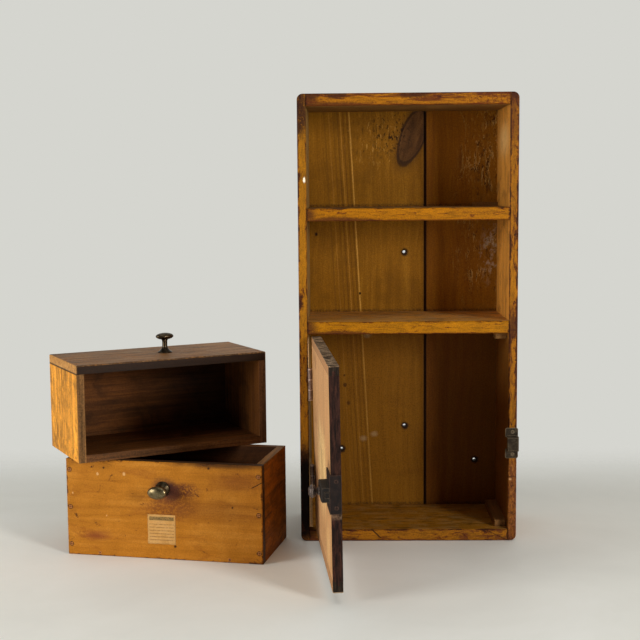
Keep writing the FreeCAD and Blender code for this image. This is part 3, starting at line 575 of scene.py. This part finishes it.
def panel_finish():
    f = door_finish("door_pine", 2, 1.0, (198, 149, 100), (152, 97, 24))
    drawn = f.swing(f.streak, 1.8)
    scraped = f.spot((104, 0, 106), (48, 0, 40), 0.35, drawn)
    f.over((236, 202, 138), scraped, f.span(f.fine, 0.42, 0.54), 0.9)
    scraped_low = f.spot((160, 0, 46), (16, 0, 20), 0.5, drawn)
    f.over((226, 188, 128), scraped_low, f.span(f.fine, 0.44, 0.56), 0.8)
    soot = f.spot((184, 0, LATCH_Z + 4), (20, 0, 23), 0.35, f.swing(f.cloud, 0.9))
    f.over((46, 33, 26), soot, f.span(f.speck, 0.36, 0.6, 0.2, 0.85))
    f.over((24, 15, 11), f.spot((0, 0, 60), (20, 0, 46), 0.4, f.swing(f.cloud, 1.0)), 0.92)
    f.over((124, 76, 42), f.span(f.add(f.cloud, f.swing(f.streak, 0.4)), 0.56, 0.7, 0.0, 0.45))
    f.over((140, 92, 54), f.span(f.noise((0.35, 0.2, 0.012), 6.0, 5, 0.6), 0.55, 0.63, 0.0, 0.6))
    door_edges(f, (14, 7, 5), (66, 38, 28))
    band = f.spot((DOOR_HIGH.x, 5, LATCH_Z - 20), (4, 0, 2.6), 0.6, f.swing(f.speck, 1.4))
    on_edge = f.span(f.x, DOOR_HIGH.x - 1.0, DOOR_HIGH.x - 0.3)
    f.over((128, 100, 76), band, on_edge, f.span(f.speck, 0.4, 0.56), 0.6)
    return f.wood_done()


def cleat_finish(name, seed):
    """The grain of an end cleat runs across the door, so its free end is dark end grain."""
    f = door_finish(name, 0, seed, (168, 122, 80), (146, 92, 24))
    door_edges(f, (15, 11, 8), (54, 41, 30))
    joint = f.most(f.line(f.z, DOOR_LOW.z + 4.0, 0.8), f.line(f.z, DOOR_HIGH.z - 4.0, 0.8))
    f.over((40, 25, 16), joint, 0.5)
    return f.wood_done()


def strip_finish(name, grain, tone, seed):
    """A small plain strip or block of the case."""
    f = Finish(name)
    f.timber(grain, seed)
    f.colour = f.ramp(f.wood, shade(tone, 0.75), tone, shade(tone, 1.2))
    f.over(shade(tone, 0.3), f.span(f.speck, 0.58, 0.72, 0.0, 0.7))
    return f


def hinge_strip_finish():
    """Pale strip, darker between the lower hinge and the latch."""
    f = strip_finish("strip_pine", 2, (222, 182, 130), 2.0)
    height = f.add(f.z, f.swing(f.speck, 8.0))
    f.over((44, 27, 14), f.span(height, 76, 92), f.span(height, 176, 156), 0.85)
    return f.wood_done()


wear("door_panel", panel_finish())
wear("door_top_cleat", cleat_finish("door_cleat_top", 1.0))
wear("door_bottom_cleat", cleat_finish("door_cleat_bottom", 6.0))
wear("hinge_strip", hinge_strip_finish())
wear("upper_door_stop", strip_finish("upper_stop_pine", 1, (112, 78, 40), 4.0).wood_done())
wear("lower_door_stop", strip_finish("lower_stop_pine", 1, (122, 84, 44), 6.0).wood_done())
wear("drawer_stop", strip_finish("drawer_stop_pine", 0, (120, 78, 34), 8.0).wood_done())


# Drawers: painted fronts on bare boxes
def drawer_front(name, at, turn, seed):
    f = Finish(name, at, turn)
    f.timber(0, seed)
    broad = f.add(f.times(f.streak, 0.45), f.times(f.cloud, 0.55))
    f.colour = f.ramp(broad, (150, 93, 18), (168, 106, 27), (182, 120, 40))
    brush_marks = f.noise((0.03, 0.3, 0.36), 5.0, 7, 0.7, 0.6)
    f.over((124, 70, 14), f.span(brush_marks, 0.53, 0.62, 0.0, 0.2))
    drifts = f.noise((0.018, 0.03, 0.07), 8.0, 6, 0.65, 1.2)
    f.over((132, 74, 18), f.span(drifts, 0.52, 0.66, 0.0, 0.42))
    rims = f.most(f.line(f.x, -HALF_DRAWER, 2.5), f.line(f.x, HALF_DRAWER, 2.5), f.line(f.z, 0.0, 2.2),
                  f.line(f.z, DRAWER_HIGH, 3.0))
    chips = f.noise((0.07, 0.1, 0.10), 4.0, 7, 0.7, 0.8)
    broken = f.add(chips, f.times(rims, 0.10), f.swing(f.speck, 0.14))
    f.over((70, 34, 16), f.span(broken, 0.60, 0.69), 0.85)
    return f


def drawer_front_edges(f, wood_tone):
    """Bare wood behind the painted face."""
    rough = f.add(f.times(f.wood, 0.75), f.times(f.speck, 0.25))
    wood = f.ramp(rough, shade(wood_tone, 0.5), wood_tone, shade(wood_tone, 1.6))
    f.colour = f.mix(f.span(f.y, 0.8, 1.6, 1.0, 0.0), wood, f.colour)


def add_nail_rust(f):
    """Rust that has bled into the paint round the nails at both ends of a drawer's front."""
    for x in (-NAIL_X, NAIL_X):
        for z in (NAIL_INSET, DRAWER_HIGH / 2, DRAWER_HIGH - NAIL_INSET):
            f.over((58, 28, 16), f.spot((x, 0, z), (2.5, 0, 2.5), 0.25, f.swing(f.speck, 0.8)), 0.9)


# Small marks on the lower drawer's front: across, up and half width
PAINT_CHIPS = ((-68.7, 84.4, 1.1), (-40.4, 85.6, 1.3), (-96, 64, 0.8), (-60, 42, 0.6))
DENTS = ((-62, 91, 1.0), (48, 94.5, 1.2), (72, 56, 1.0), (-75, 91.5, 0.9), (12, 13.5, 1.3))


def add_hand_grime(f, cloudy):
    """Grime that hands have left round the lower drawer's knob."""
    ring = f.spot((2, 0, 70), (13, 0, 12), 0.5, f.swing(f.speck, 0.9))
    f.over((80, 44, 34), ring, f.span(f.speck, 0.34, 0.52, 0.4, 0.95))
    beside = f.spot((9, 0, 69), (9, 0, 9), 0.4, cloudy)
    f.over((42, 26, 28), beside, f.span(f.speck, 0.34, 0.48, 0.5, 0.97))
    smear = f.spot((21, 0, 71), (14, 0, 7), 0.6, cloudy)
    f.over((92, 48, 30), smear, f.span(f.speck, 0.42, 0.52, 0.1, 0.9))
    below = f.spot((6, 0, 54), (24, 0, 11), 0.7, cloudy)
    f.over((106, 56, 26), below, f.span(f.speck, 0.40, 0.56, 0.1, 0.85))


def lower_front_finish():
    f = drawer_front("lower_front", LOWER_AT, LOWER_TURN, 2.0)
    cloudy = f.swing(f.cloud, 1.4)
    add_hand_grime(f, cloudy)
    f.over((118, 66, 18), f.spot((40, 0, 52), (58, 0, 9), 0.9, f.swing(f.streak, 2.0)), 0.5)
    f.over((116, 52, 26), f.spot((-71, 0, 21), (16, 0, 4), 0.7, f.swing(f.streak, 1.8)), 0.75)
    f.over((118, 62, 22), f.spot((76, 0, 82), (20, 0, 8), 0.8, cloudy), 0.55)
    for x, z, size in PAINT_CHIPS:
        f.over((216, 174, 116), f.spot((x, 0, z), (size, 0, size * 1.3), 0.4, f.swing(f.speck, 2.4)), 0.6)
    for x, z, size in DENTS:
        f.over((58, 30, 14), f.spot((x, 0, z), (size, 0, size), 0.6, f.swing(f.speck, 1.2)))
    split = f.line(f.add(f.z, f.times(f.x, -0.55), f.swing(f.speck, 1.5)), 26.0, 0.7)
    f.over((38, 19, 10), split, f.spot((97, 0, 80), (7, 0, 6), 0.3), 0.9)
    f.over((52, 28, 14), f.spot((60, 0, DRAWER_HIGH), (46, 0, 4), 0.6, cloudy), 0.8)
    add_nail_rust(f)
    drawer_front_edges(f, (60, 40, 25))
    return f.wood_done((0.4, 0.64), 0.25, grit=0.14)


def upper_front_finish():
    f = drawer_front("upper_front", UPPER_AT, UPPER_TURN, 5.0)
    f.over((120, 90, 62), f.span(f.cloud, 0.35, 0.65, 0.45, 0.85))
    f.over((176, 134, 92), f.span(f.x, -20, -96, 0.0, 0.45))
    weathered = f.noise((0.02, 0.2, 0.22), 7.0, 7, 0.7, 0.6)
    f.over((62, 43, 30), f.span(weathered, 0.51, 0.60, 0.0, 0.75))
    f.over((170, 144, 112), f.span(weathered, 0.45, 0.38, 0.0, 0.5))
    drawer_front_edges(f, (38, 26, 18))
    end_grain = f.add(f.times(f.streak, 0.4), f.times(f.speck, 0.6))
    ends = f.ramp(end_grain, (108, 68, 28), (174, 122, 60), (212, 162, 94))
    at_ends = f.span(f.math("ABSOLUTE", f.x), HALF_DRAWER - 0.8, HALF_DRAWER - 0.3)
    f.colour = f.mix(at_ends, f.colour, ends)
    f.over((34, 20, 11), f.line(f.y, DRAWER_FRONT_T, 1.3), 0.85)
    f.over((44, 28, 18), f.line(f.z, DRAWER_HIGH, 2.0), f.span(f.speck, 0.42, 0.56), 0.8)
    return f.wood_done((0.45, 0.7), 0.25)


def drawer_board(name, at, turn, grain, outside, inside, rim_tone, seed, painted_shade):
    """Bare boards: the outer faces, the inner faces and, at the open top, a grey rim. The last argument sets how
    far painted shade darkens the inner faces towards one end.
    """
    f = Finish(name, at, turn)
    f.timber(grain, seed)
    f.colour = f.ramp(f.wood, shade(inside, 0.6), inside, shade(inside, 1.3))
    f.over(shade(inside, 0.4), f.span(f.cloud, 0.46, 0.70, 0.0, 0.6))
    # Painted shade: the inner faces darken towards -x, standing in for the door's shadow inside the upper drawer.
    f.over((10, 5, 2), f.span(f.x, 40, -60, 0.0, painted_shade))
    within = f.colour
    f.colour = f.ramp(f.wood, shade(outside, 0.68), outside, shade(outside, 1.24), 0.34, 0.66)
    f.over(shade(outside, 0.55), f.span(f.add(f.cloud, f.swing(f.speck, 0.25)), 0.52, 0.68, 0.0, 0.6))
    mottle = f.noise((0.09, 0.05, 0.09), seed + 9, 6, 0.7, 0.8)
    f.over(shade(outside, 0.62), f.span(mottle, 0.50, 0.62, 0.0, 0.6))
    f.over(shade(outside, 1.25), f.span(mottle, 0.46, 0.36, 0.0, 0.6))
    splits = f.add(f.z, f.swing(f.streak, 10))
    f.over(shade(outside, 0.35), f.most(f.line(splits, 44, 0.6), f.line(splits, 63, 0.5)), 0.7)
    f.over((34, 20, 11), f.line(f.y, DRAWER_FRONT_T, 1.2), 0.8)
    outer_face = f.span(f.math("ABSOLUTE", f.x), HALF_DRAWER - 0.9, HALF_DRAWER - 0.3)
    f.colour = f.mix(outer_face, within, f.colour)
    worn = f.add(f.times(f.wood, 0.7), f.times(f.speck, 0.3))
    rim = f.ramp(worn, shade(rim_tone, 0.45), rim_tone, shade(rim_tone, 1.5), 0.36, 0.64)
    f.colour = f.mix(f.span(f.z, DRAWER_HIGH - 0.9, DRAWER_HIGH - 0.2), f.colour, rim)
    return f.wood_done()


wear("lower_drawer_front", lower_front_finish())
wear("upper_drawer_front", upper_front_finish())
# How far painted shade darkens each drawer's inner faces towards one end
BOTTOM_PAINTED_SHADE = {"upper_drawer": 0.8, "lower_drawer": 0.0}
for drawer, at, turn, left_tone, right_tone, inside, seed in (
        ("lower_drawer", LOWER_AT, LOWER_TURN, (150, 92, 40), (134, 76, 16), (76, 44, 20), 2.0),
        ("upper_drawer", UPPER_AT, UPPER_TURN, (104, 54, 20), (206, 138, 47), (98, 58, 24), 5.0)):
    boards = (("left_side", 1, left_tone, (82, 56, 36), 0.0),
              ("right_side", 1, right_tone, (116, 82, 46), 0.0),
              ("back", 0, (128, 84, 44), (96, 62, 34), 0.0),
              ("bottom", 0, (120, 80, 42), (96, 62, 34), BOTTOM_PAINTED_SHADE[drawer]))
    for step, (board, grain, outside, rim, painted_shade) in enumerate(boards, start=1):
        name = drawer + "_" + board
        wear(name, drawer_board(name, at, turn, grain, outside, inside, rim, seed + step, painted_shade))


# Metal
def iron_finish(name, dark, middle, light, rust, seed, gloss, metal):
    f = Finish(name)
    f.speck = f.noise((1.2, 1.2, 1.2), seed, 5, 0.7)
    cloud = f.noise((0.16, 0.16, 0.16), seed + 1)
    f.colour = f.ramp(f.add(f.times(cloud, 0.5), f.times(f.speck, 0.5)), dark, middle, light)
    f.over(rust, f.span(f.noise((0.3, 0.3, 0.3), seed + 5), 0.52, 0.66, 0.0, 0.75))
    f.over(shade(light, 1.45), f.worn_edges(1.3), f.span(f.speck, 0.38, 0.54, 0.3, 0.9))
    return f.done((gloss, gloss + 0.3), f.speck, 0.3, 0.2, 0.4, Metallic=metal, Specular_IOR_Level=0.2)


def brass_finish(name, tones, at, turn, seed):
    """Worn brass, dark round the foot of the knob."""
    dark, middle, light, tarnish = tones
    f = Finish(name, at, turn)
    f.speck = f.noise((0.9, 0.9, 0.9), seed, 5, 0.7)
    cloud = f.noise((0.14, 0.14, 0.14), seed + 1, 5, 0.65, 0.8)
    f.colour = f.ramp(cloud, dark, middle, light)
    f.over(tarnish, f.span(f.add(f.times(cloud, 0.6), f.times(f.speck, 0.4)), 0.48, 0.64, 0.0, 0.8))
    f.over((40, 32, 24), f.span(f.y, -10.0, -3.0, 0.0, 0.8))
    return f.done((0.24, 0.5), f.speck, 0.12, 0.2, Metallic=1.0)


HINGE_NODES = [name for name in nodes if "hinge_" in name and name != "hinge_strip"]
# Nodes, name of the finish, its dark, middle, light and rust tones, seed, gloss and metal
IRONS = (
    (("latch_case", "latch_spring", "latch_bolt"), "latch_iron",
     (4, 3, 2), (15, 12, 9), (54, 45, 36), (24, 15, 10), 2.0, 0.5, 0.0),
    (("latch_plate", "latch_screws"), "latch_plate_iron",
     (7, 4, 3), (22, 13, 10), (52, 36, 28), (33, 18, 13), 7.0, 0.6, 0.0),
    (("latch_knob",), "knob_iron",
     (52, 44, 40), (88, 76, 70), (130, 116, 108), (60, 42, 34), 4.0, 0.3, 0.6),
    (HINGE_NODES, "hinge_iron",
     (86, 70, 60), (132, 110, 98), (176, 154, 140), (92, 58, 38), 6.0, 0.42, 0.6),
    (("keeper", "keeper_screws"), "keeper_iron",
     (22, 18, 14), (50, 41, 31), (100, 88, 70), (44, 29, 20), 8.0, 0.36, 0.6),
    (("lower_drawer_nails", "upper_drawer_nails"), "drawer_nail_iron",
     (78, 42, 18), (110, 64, 28), (148, 98, 54), (70, 35, 13), 5.0, 0.7, 0.0),
    (("case_nails", "back_nails"), "nail_iron",
     (26, 18, 14), (46, 33, 25), (74, 55, 42), (56, 30, 17), 3.0, 0.55, 0.6),
)
for names, *look in IRONS:
    material = iron_finish(*look)
    for name in names:
        wear(name, material)


def add_piece(name, work, material, body):
    """Makes an object of a finished mesh and lets it ride on a body."""
    for face in work.faces:
        face.smooth = True
    bmesh.ops.recalc_face_normals(work, faces=work.faces)
    mesh = bpy.data.meshes.new(name)
    work.to_mesh(mesh)
    work.free()
    mesh.materials.append(material)
    piece = bpy.data.objects.new(name, mesh)
    bpy.context.scene.collection.objects.link(piece)
    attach(piece, body)
    return piece


# Drawer knobs, cast in one: shank, flared foot, neck and oval head
KNOB_SIDES = 48
KNOB_HEIGHT = 21.0
KNOB_SHANK = 2.0              # radius
KNOB_FOOT = 7.6               # radius
KNOB_RIM = 0.9                # height of the foot's rim
KNOB_FLARE = 7.1              # height of the hollow curve above the rim
KNOB_FLARE_STEPS = 8
KNOB_NECK = 2.7               # radius
KNOB_HEAD = (9.7, 6.4, 3.6)   # half length, half width and half height
BRASS = ((72, 62, 42), (120, 106, 76), (166, 152, 120), (52, 42, 28))
BRONZE = ((48, 40, 28), (76, 64, 48), (112, 98, 78), (36, 30, 24))


def knob_profile():
    """Half length, half width and height of each ring, from the shank's end to the top."""
    turned = [(KNOB_SHANK, -DRAWER_FRONT_T), (KNOB_SHANK, -0.05), (KNOB_FOOT - 0.4, 0.0), (KNOB_FOOT, 0.3),
              (KNOB_FOOT - 0.1, KNOB_RIM)]
    for step in range(1, KNOB_FLARE_STEPS + 1):
        share = step / KNOB_FLARE_STEPS
        radius = KNOB_NECK + (KNOB_FOOT - 0.2 - KNOB_NECK) * (1 - share) ** 2.3
        turned.append((radius, KNOB_RIM + KNOB_FLARE * share))
    turned.append((KNOB_NECK, 10.5))
    rings = [(radius, radius, height) for radius, height in turned]
    rings += [(KNOB_NECK + 0.1, KNOB_NECK, 12.6), (3.2, 2.9, 13.6)]
    long, short, half = KNOB_HEAD
    for angle in range(-66, 90, 6):
        slope = math.radians(angle)
        height = KNOB_HEIGHT - half + half * math.sin(slope)
        rings.append((long * math.cos(slope), short * math.cos(slope), height))
    return rings


def add_knob(name, drawer, at, turn, material):
    """Stands the knob where its solid is, square to the drawer's front."""
    low, high = in_frame(drawer + "_knob", at, turn)
    middle = Vector(((low.x + high.x) / 2, 0, (low.z + high.z) / 2))
    place = Matrix.Translation(Vector(at)) @ Euler(turn).to_matrix().to_4x4() @ Matrix.Translation(middle)
    place = place @ Matrix.Rotation(math.pi / 2, 4, "X")
    work = bmesh.new()
    rings = []
    for long, short, out in knob_profile():
        angles = [2 * math.pi * step / KNOB_SIDES for step in range(KNOB_SIDES)]
        points = [Vector((long * math.cos(angle), short * math.sin(angle), out)) for angle in angles]
        rings.append([work.verts.new((place @ point) / 1000) for point in points])
    for lower, upper in zip(rings[:-1], rings[1:]):
        for step in range(KNOB_SIDES):
            after = (step + 1) % KNOB_SIDES
            work.faces.new((lower[step], lower[after], upper[after], upper[step]))
    work.faces.new(list(reversed(rings[0])))
    work.faces.new(rings[-1])
    piece = add_piece(name, work, material, drawer)
    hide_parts(drawer + "_knob")


add_knob("lower_knob_cast", "lower_drawer", LOWER_AT, LOWER_TURN,
         brass_finish("knob_brass", BRASS, LOWER_AT, LOWER_TURN, 2.0))
add_knob("upper_knob_cast", "upper_drawer", UPPER_AT, UPPER_TURN,
         brass_finish("knob_bronze", BRONZE, UPPER_AT, UPPER_TURN, 5.0))


# Paper label on the lower drawer, with a printed band and ruled lines
LABEL_LEFT, LABEL_RIGHT = -16.5, 12.7
LABEL_LOW, LABEL_HIGH = 15.3, 45.6
LABEL_MARGIN = 1.5
LABEL_BAND = (6.2, 2.0)       # lower and upper edge of the band, below the top
LABEL_RULES = 6
LABEL_FIRST_RULE = 10.0       # below the top
LABEL_RULE_STEP = 3.2
PRINT_SOFT = 0.4
LABEL_STEPS = 16
LABEL_RAGGED = 0.35
LABEL_LIFT = 0.16
LABEL_WAVE = 0.09
PAPER_T = 0.06


def label_finish():
    f = Finish("aged_paper", LOWER_AT, LOWER_TURN)
    f.speck = f.noise((0.8, 0.8, 0.8), 5.0, 5, 0.7)
    cloud = f.noise((0.12, 0.12, 0.12), 2.0, 5, 0.65, 0.8)
    fibre = f.noise((0.5, 0.5, 2.0), 8.0, 5, 0.7)
    paper = f.add(f.times(cloud, 0.6), f.times(fibre, 0.4))
    f.colour = f.ramp(paper, (166, 120, 60), (190, 142, 78), (206, 164, 102))
    left, right = LABEL_LEFT + LABEL_MARGIN, LABEL_RIGHT - LABEL_MARGIN
    across = f.times(f.span(f.x, left, left + PRINT_SOFT), f.span(f.x, right, right - PRINT_SOFT))
    low, high = (LABEL_HIGH - below for below in LABEL_BAND)
    band = f.times(f.span(f.z, low, low + PRINT_SOFT), f.span(f.z, high, high - PRINT_SOFT))
    f.over((44, 52, 30), band, across, f.span(f.speck, 0.34, 0.6, 0.9, 0.5))
    for row in range(LABEL_RULES):
        rule = f.line(f.z, LABEL_HIGH - LABEL_FIRST_RULE - LABEL_RULE_STEP * row, 0.7)
        f.over((112, 82, 44), rule, across, f.span(f.speck, 0.36, 0.58, 0.2, 0.7))
    f.over((146, 96, 46), f.span(f.add(f.times(cloud, 0.7), f.times(f.speck, 0.3)), 0.52, 0.68, 0.0, 0.45))
    return f.done((0.7, 0.85), fibre, 0.2, 0.2, Specular_IOR_Level=0.2)


def add_label():
    """A thin wavy sheet with ragged edges, just off the drawer's front."""
    place = Matrix.Translation(LOWER_AT) @ Euler(LOWER_TURN).to_matrix().to_4x4()
    work = bmesh.new()
    rows = []
    for row in range(LABEL_STEPS + 1):
        line = []
        for column in range(LABEL_STEPS + 1):
            across = LABEL_LEFT + (LABEL_RIGHT - LABEL_LEFT) * column / LABEL_STEPS
            up = LABEL_LOW + (LABEL_HIGH - LABEL_LOW) * row / LABEL_STEPS
            on_edge = 0 in (column, row) or LABEL_STEPS in (column, row)
            torn = noise.noise(Vector((across * 0.7, up * 0.7, 2.0)))
            ragged = LABEL_RAGGED * torn if on_edge else 0.0
            lift = LABEL_LIFT + LABEL_WAVE * noise.noise(Vector((across * 0.16, up * 0.16, 5.0)))
            point = place @ Vector((across + ragged, -lift, up + ragged))
            line.append(work.verts.new(point / 1000))
        rows.append(line)
    for lower, upper in zip(rows[:-1], rows[1:]):
        for step in range(LABEL_STEPS):
            work.faces.new((lower[step], lower[step + 1], upper[step + 1], upper[step]))
    piece = add_piece("paper_label", work, label_finish(), "lower_drawer")
    paper = piece.modifiers.new("paper", "SOLIDIFY")
    paper.thickness = PAPER_T / 1000
    paper.offset = -1.0


add_label()


# Stage, in metres: a pale floor that fades out behind the case, under soft light
FLOOR_SIDE = 2.5
FLOOR_FRONT, FLOOR_REAR = -2.6, 0.45
FLOOR_DROP = 0.0002
FLOOR_FADE = (120.0, 420.0)   # millimetres
DAYLIGHT = (1.0, 0.985, 0.96)
LAMPLIGHT = (1.0, 0.99, 0.97)


def add_floor():
    f = Finish("pale_floor")
    f.speck = f.noise((0.006, 0.006, 0.006), 1.0)
    f.colour = f.ramp(f.speck, (232, 232, 225), (236, 236, 229), (240, 240, 234))
    material = f.done((0.7, 0.8), f.speck, 0.05, 1.0, Specular_IOR_Level=0.2)
    f.put(f.shader.inputs["Alpha"], f.span(f.y, *FLOOR_FADE, 1.0, 0.0))
    mesh = bpy.data.meshes.new("floor")
    corners = [(-FLOOR_SIDE, FLOOR_FRONT, 0), (FLOOR_SIDE, FLOOR_FRONT, 0), (FLOOR_SIDE, FLOOR_REAR, 0),
               (-FLOOR_SIDE, FLOOR_REAR, 0)]
    mesh.from_pydata(corners, [], [(0, 1, 2, 3)])
    mesh.materials.append(material)
    floor = bpy.data.objects.new("floor", mesh)
    floor.location.z = -FLOOR_DROP
    bpy.context.scene.collection.objects.link(floor)


def add_light(name, at, aim, width, height, power, colour):
    """A soft rectangular light that faces a point."""
    lamp = bpy.data.lights.new(name, "AREA")
    lamp.shape = "RECTANGLE"
    lamp.size = width
    lamp.size_y = height
    lamp.energy = power
    lamp.color = colour
    thing = bpy.data.objects.new(name, lamp)
    thing.location = at
    thing.rotation_euler = (Vector(aim) - Vector(at)).to_track_quat("-Z", "Y").to_euler()
    bpy.context.scene.collection.objects.link(thing)


def add_world():
    """A pale room that is seen evenly, but lights the object from behind more than from the front."""
    world = bpy.data.worlds.new("studio")
    world.use_nodes = True
    tree = world.node_tree
    tree.nodes.clear()
    output = tree.nodes.new("ShaderNodeOutputWorld")
    room = tree.nodes.new("ShaderNodeBackground")
    way = tree.nodes.new("ShaderNodeTexCoord")
    axes = tree.nodes.new("ShaderNodeSeparateXYZ")
    step = tree.nodes.new("ShaderNodeMapRange")
    step.interpolation_type = "SMOOTHSTEP"
    step.inputs["From Min"].default_value = -0.2
    step.inputs["From Max"].default_value = 0.75
    tone = tree.nodes.new("ShaderNodeMix")
    tone.data_type = "RGBA"
    tone.inputs[6].default_value = (0.05, 0.05, 0.05, 1)
    tone.inputs[7].default_value = rgb((213, 213, 207))
    tree.links.new(way.outputs["Generated"], axes.inputs[0])
    tree.links.new(axes.outputs[1], step.inputs["Value"])
    seen = tree.nodes.new("ShaderNodeMath")
    seen.operation = "MAXIMUM"
    tree.links.new(step.outputs[0], seen.inputs[0])
    tree.links.new(tree.nodes.new("ShaderNodeLightPath").outputs["Is Camera Ray"], seen.inputs[1])
    tree.links.new(seen.outputs[0], tone.inputs[0])
    tree.links.new(tone.outputs[2], room.inputs[0])
    tree.links.new(room.outputs[0], output.inputs[0])
    bpy.context.scene.world = world


add_floor()
add_world()
add_light("left_window", (-1.73, -1.0, 0.50), (0.0, 0.0, 0.24), 0.8, 0.8, 26, DAYLIGHT)
add_light("right_window", (1.25, -1.56, 0.60), (-0.1, 0.0, 0.20), 0.4, 0.6, 28, DAYLIGHT)
add_light("ceiling", (0.1, -0.5, 2.3), (0.0, -0.1, 0.0), 2.0, 2.0, 11, LAMPLIGHT)


# Camera at the photograph's viewpoint, in metres and radians
CAMERA_AT = (-0.06703, -1.31290, 0.36973)
CAMERA_YAW, CAMERA_PITCH, CAMERA_ROLL = -0.0189, -0.1078, -0.0088
CAMERA_LENS = 69.02           # millimetres
CAMERA_SENSOR = 36.0


def add_camera():
    level = math.cos(CAMERA_PITCH)
    ahead = Vector((math.sin(CAMERA_YAW) * level, math.cos(CAMERA_YAW) * level, math.sin(CAMERA_PITCH)))
    right = Vector((math.cos(CAMERA_YAW), -math.sin(CAMERA_YAW), 0))
    up = right.cross(ahead)
    side = math.cos(CAMERA_ROLL) * right + math.sin(CAMERA_ROLL) * up
    head = math.cos(CAMERA_ROLL) * up - math.sin(CAMERA_ROLL) * right
    data = bpy.data.cameras.new("camera")
    data.lens = CAMERA_LENS
    data.sensor_width = CAMERA_SENSOR
    data.clip_start = 0.05
    data.clip_end = 50.0
    camera = bpy.data.objects.new("camera", data)
    turn = Matrix((side, head, -ahead)).transposed().to_4x4()
    camera.matrix_world = Matrix.Translation(CAMERA_AT) @ turn
    bpy.context.scene.collection.objects.link(camera)
    bpy.context.scene.camera = camera


add_camera()
bpy.context.scene.view_settings.view_transform = "Standard"

bpy.context.view_layer.update()
